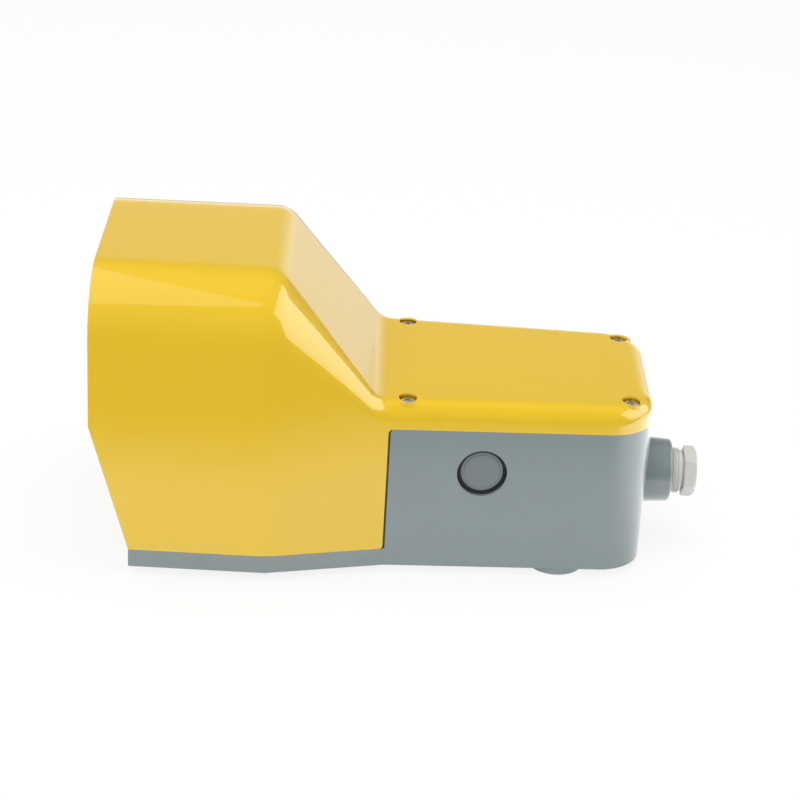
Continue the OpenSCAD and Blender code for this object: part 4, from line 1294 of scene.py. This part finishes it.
@dataclass
class ReturnSpring:
    """The compression spring under the pedal."""

    wire_r: float = 0.9 * MM
    turns: int = 7
    dead: float = 1.2
    dead_rise: float = 0.065
    steps: int = 40
    keep: float = 0.74

    def build(self) -> bpy.types.Object:
        """Models the coil.

        Returns:
            The finished piece.
        """
        low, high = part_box("return_spring")
        centre = (low + high) / 2
        coil_r = (high.x - low.x) / 2 - self.wire_r
        rise = high.z - low.z - 2 * self.wire_r
        bpy.ops.object.select_all(action="DESELECT")
        curve = bpy.data.curves.new("return_coil", "CURVE")
        curve.dimensions = "3D"
        curve.bevel_depth = self.wire_r
        curve.bevel_resolution = 4
        curve.use_fill_caps = True
        count = self.turns * self.steps
        line = curve.splines.new("POLY")
        line.points.add(count)
        for i, point in enumerate(line.points):
            turn = self.turns * i / count
            angle = math.tau * turn
            x, y = centre.x + coil_r * math.cos(angle), centre.y + coil_r * math.sin(angle)
            point.co = (x, y, low.z + self.wire_r + self._lift(turn) * rise, 1.0)
        alone(linked("return_coil", curve))
        bpy.ops.object.convert(target="MESH")
        coil = smooth(merged(settle(bpy.context.object, "return_coil")), 50)
        dressed(coil, "return_spring", SPRING_STEEL)
        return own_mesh(coil)

    def _lift(self, turn: float) -> float:
        """Gives the share of the rise that is reached after some turns.

        Args:
            turn: The number of turns from the foot.

        Returns:
            The share of the rise.
        """
        slow = self.dead_rise
        if turn < self.dead:
            return slow * turn / self.dead
        if turn > self.turns - self.dead:
            return 1 - slow * (self.turns - turn) / self.dead
        return slow + (1 - 2 * slow) * (turn - self.dead) / (self.turns - 2 * self.dead)


@dataclass
class PlungerSpring:
    """The contact block's own spring."""

    travel: float = 3 * MM

    def build(self) -> bpy.types.Object:
        """Copies the coil.

        Returns:
            The finished piece.
        """
        coil = smooth(copied("plunger_spring", "plunger_coil", 0.0), 50)
        dressed(coil, "plunger_spring", SPRING_STEEL)
        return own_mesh(coil)


PLAIN_NODES: dict[str, Finish] = {
    "cover_gasket": BLACK_RUBBER, "cover_inserts": BRASS, "side_plug_nuts": ZINC, "gland_washer": ZINC,
    "gland_seal": BLACK_RUBBER, "pivot_pin": BRIGHT_STEEL, "pin_clips": ZINC, "pedal_bushes": BUSH_IVORY,
    "bump_stops": BLACK_RUBBER, "rest_buffer": BLACK_RUBBER, "push_rod": BRIGHT_STEEL, "rod_clip": ZINC,
    "rod_bush": BUSH_IVORY, "rod_seal": BLACK_RUBBER, "block_base": BLOCK_BLACK, "block_lid": BLOCK_GREY,
    "block_screws": ZINC, "lid_screws": ZINC, "block_plunger": PLUNGER_RED, "contact_bridges": CONTACT,
    "fixed_contacts": CONTACT, "terminal_clamps": ZINC, "terminal_screws": ZINC,
    "hood_screws": ZINC, "tread_screws": ZINC,
}


def dress_nodes() -> None:
    """Gives each node that stays as it is its finish."""
    for name, finish in PLAIN_NODES.items():
        node = frame["nodes"][name]
        node.data.materials.clear()
        node.data.materials.append(finish.material())
        LOG.info("%s is dressed as %s", name, finish.name)


# ------------------------------------------------------------------ studio


class Lights(Enum):
    """What a lamp lights: whether its matt light and its reflection show."""

    MATT_ONLY = (True, False)
    GLOSS_ONLY = (False, True)


@dataclass(frozen=True)
class Lamp:
    """An area lamp.

    Args:
        name: The lamp's name.
        place: Where it hangs.
        aim: The point that it faces.
        size: Its width and height.
        glow: Its brightness, where 1 is white.
        lights: What its light reaches.
    """

    name: str
    place: tuple[float, float, float]
    aim: tuple[float, float, float]
    size: tuple[float, float]
    glow: float
    lights: Lights

    def build(self) -> None:
        """Adds the lamp to the scene."""
        data = bpy.data.lights.new(self.name, "AREA")
        data.shape = "RECTANGLE"
        data.size, data.size_y = self.size
        data.energy = self.glow * math.pi * self.size[0] * self.size[1]
        lamp = linked(self.name, data)
        lamp.location = self.place
        lamp.rotation_euler = (Vector(self.aim) - Vector(self.place)).to_track_quat("-Z", "Y").to_euler()
        lamp.visible_diffuse, lamp.visible_glossy = self.lights.value


LAMPS = (
    Lamp("right_window", (1.05, -0.09, 0.66), (0.0, 0.0, 0.10), (1.58, 1.14), 3.2, Lights.GLOSS_ONLY),
    Lamp("front_fill", (-0.2, -1.4, 0.9), (0.0, 0.0, 0.06), (1.0, 1.0), 2.05, Lights.MATT_ONLY),
    Lamp("top_fill", (0.1, 0.1, 1.4), (0.1, 0.1, 0.0), (1.0, 1.0), 2.3, Lights.MATT_ONLY),
)


@dataclass
class Studio:
    """The floor, the lamps, the white surroundings and the camera.

    Reflections see a bright table round the part and a pale backdrop low behind it, dark elsewhere.
    Each range below gives the places where such a change starts and ends, and each glow its levels.
    """

    target: tuple[float, float, float] = (4.49 * MM, 0.0, 66.13 * MM)
    distance: float = 1.1083
    yaw: float = math.radians(1.1935)
    pitch: float = math.radians(25.3726)
    roll: float = math.radians(3.3164)
    lens: float = 102.367
    panel: tuple[tuple[float, float], ...] = (
        (-0.105, -0.70), (-0.33, 0.91), (-1.3, 0.91), (-1.3, -1.40), (-0.575, -1.40),
    )
    panel_z: float = 1.14
    panel_glow: float = 1.2
    ambient: float = 0.5
    floor_size: float = 12.0
    floor_z: float = -0.02 * MM
    floor_grey: float = 0.82
    floor_rough: float = 0.9
    floor_white: float = 0.8
    white_level: float = 1.06
    table_y: tuple[float, float] = (-0.25, -0.14)
    far_glow: float = 0.05
    table_x: tuple[float, float] = (0.12, 0.24)
    table_glow: tuple[float, float] = (1.6, 3.2)
    behind_y: tuple[float, float] = (0.05, 0.40)
    behind_glow: float = 0.33
    backdrop_z: tuple[float, float] = (0.05, 0.52)
    backdrop_glow: tuple[float, float] = (1.2, 0.12)
    backdrop_y: tuple[float, float] = (-0.45, -0.1)
    backdrop_x: tuple[float, float] = (0.44, 0.56)
    room_glow: float = 0.08

    def build(self) -> None:
        """Sets up the whole studio."""
        self._camera()
        self._floor()
        self._world()
        for lamp in LAMPS:
            lamp.build()
        self._panel()

    def _camera(self) -> None:
        """Places the camera."""
        yaw, pitch, roll = self.yaw, self.pitch, self.roll
        ahead = Vector((
            math.sin(yaw) * math.cos(pitch), math.cos(yaw) * math.cos(pitch), -math.sin(pitch),
        ))
        right = Vector((math.cos(yaw), -math.sin(yaw), 0))
        up = right.cross(ahead)
        across = math.cos(roll) * right + math.sin(roll) * up
        above = -math.sin(roll) * right + math.cos(roll) * up
        place = Vector(self.target) - ahead * self.distance
        data = bpy.data.cameras.new("camera")
        data.lens = self.lens
        data.sensor_width = 36.0
        data.clip_end = 20.0
        camera = linked("camera", data)
        camera.matrix_world = Matrix((
            (across.x, above.x, -ahead.x, place.x), (across.y, above.y, -ahead.y, place.y),
            (across.z, above.z, -ahead.z, place.z), (0, 0, 0, 1),
        ))
        bpy.context.scene.camera = camera

    def _panel(self) -> None:
        """Hangs a bright five-sided panel over the left shoulder, its point to the right."""
        mesh = bpy.data.meshes.new("left_panel")
        mesh.from_pydata([(x, y, self.panel_z) for x, y in self.panel], [], [tuple(range(len(self.panel)))])
        linked("left_panel", mesh)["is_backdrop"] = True
        material = bpy.data.materials.new("panel_light")
        material.use_nodes = True
        nodes = material.node_tree.nodes
        nodes.remove(nodes["Principled BSDF"])
        tree = Tree(material.node_tree)
        light = tree.add("Emission", Strength=self.panel_glow).outputs["Emission"]
        tree.fill(nodes["Material Output"], Surface=light)
        mesh.materials.append(material)

    def _floor(self) -> None:
        """Lays a pale floor that shows white, keeps a soft shadow and glows in gloss near the part."""
        bpy.ops.object.select_all(action="DESELECT")
        bpy.ops.mesh.primitive_plane_add(size=self.floor_size, location=(0, 0, self.floor_z))
        floor = settle(bpy.context.object, "floor")
        floor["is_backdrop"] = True
        material = bpy.data.materials.new("floor_white")
        material.use_nodes = True
        tree, nodes = Tree(material.node_tree), material.node_tree.nodes
        grey = (self.floor_grey,) * 3
        matt = tree.fill(nodes["Principled BSDF"], Base_Color=(*grey, 1.0), Roughness=self.floor_rough)
        path = tree.add("LightPath").outputs
        place = tree.add("SeparateXYZ", Vector=tree.add("TexCoord").outputs["Object"]).outputs

        white = tree.add("Emission", Strength=self.white_level).outputs["Emission"]
        shown = tree.ramp(path["Is Camera Ray"], (0.0, 1.0), (0.0, self.floor_white))
        seen = tree.blended(shown, matt.outputs["BSDF"], white)
        level = tree.combined(
            "MULTIPLY",
            tree.ramp(place["Y"], self.table_y, (self.far_glow, 1.0)),
            tree.ramp(place["X"], self.table_x, self.table_glow),
            tree.ramp(place["Y"], self.behind_y, (1.0, self.behind_glow)),
        )
        glow = tree.add("Emission", Strength=level).outputs["Emission"]
        both = tree.blended(path["Is Glossy Ray"], seen, glow)
        tree.fill(nodes["Material Output"], Surface=both)
        floor.data.materials.append(material)

    def _world(self) -> None:
        """Surrounds the scene with even light, white to the camera and a pale backdrop to gloss."""
        world = bpy.data.worlds.new("surroundings")
        bpy.context.scene.world = world
        world.use_nodes = True
        tree = Tree(world.node_tree)
        path = tree.add("LightPath").outputs
        way = tree.add("SeparateXYZ", Vector=tree.add("TexCoord").outputs["Generated"]).outputs
        gloss = tree.combined(
            "MULTIPLY",
            tree.ramp(way["Z"], self.backdrop_z, self.backdrop_glow),
            tree.ramp(way["Y"], self.backdrop_y, (self.room_glow, 1.0)),
            tree.ramp(way["X"], self.backdrop_x, (1.0, self.room_glow)),
        )
        lit = tree.mixed(path["Is Glossy Ray"], self.ambient, gloss)
        direct = tree.combined("MAXIMUM", path["Is Camera Ray"], path["Is Transmission Ray"])
        level = tree.mixed(direct, lit, 1.0)
        tree.fill(world.node_tree.nodes["Background"], Color=(1.0, 1.0, 1.0, 1.0), Strength=level)


def main() -> None:
    logging.basicConfig(level=logging.INFO)
    bpy.context.scene.view_settings.view_transform = "Standard"
    Studio().build()
    hood = HoodCover()
    hood.build()
    Housing().build()
    SideEntries().build()
    CableGland().build()
    CoverScrews().build(hood)
    Pedal().build()
    ReturnSpring().build()
    PlungerSpring().build()
    dress_nodes()
    boxes = {"cad": CAD_BOX, "visual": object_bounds()}
    for key, box in boxes.items():
        LOG.info("%s box: %s", key, [[round(value, 4) for value in corner] for corner in box])


if __name__ == "__main__":
    main()
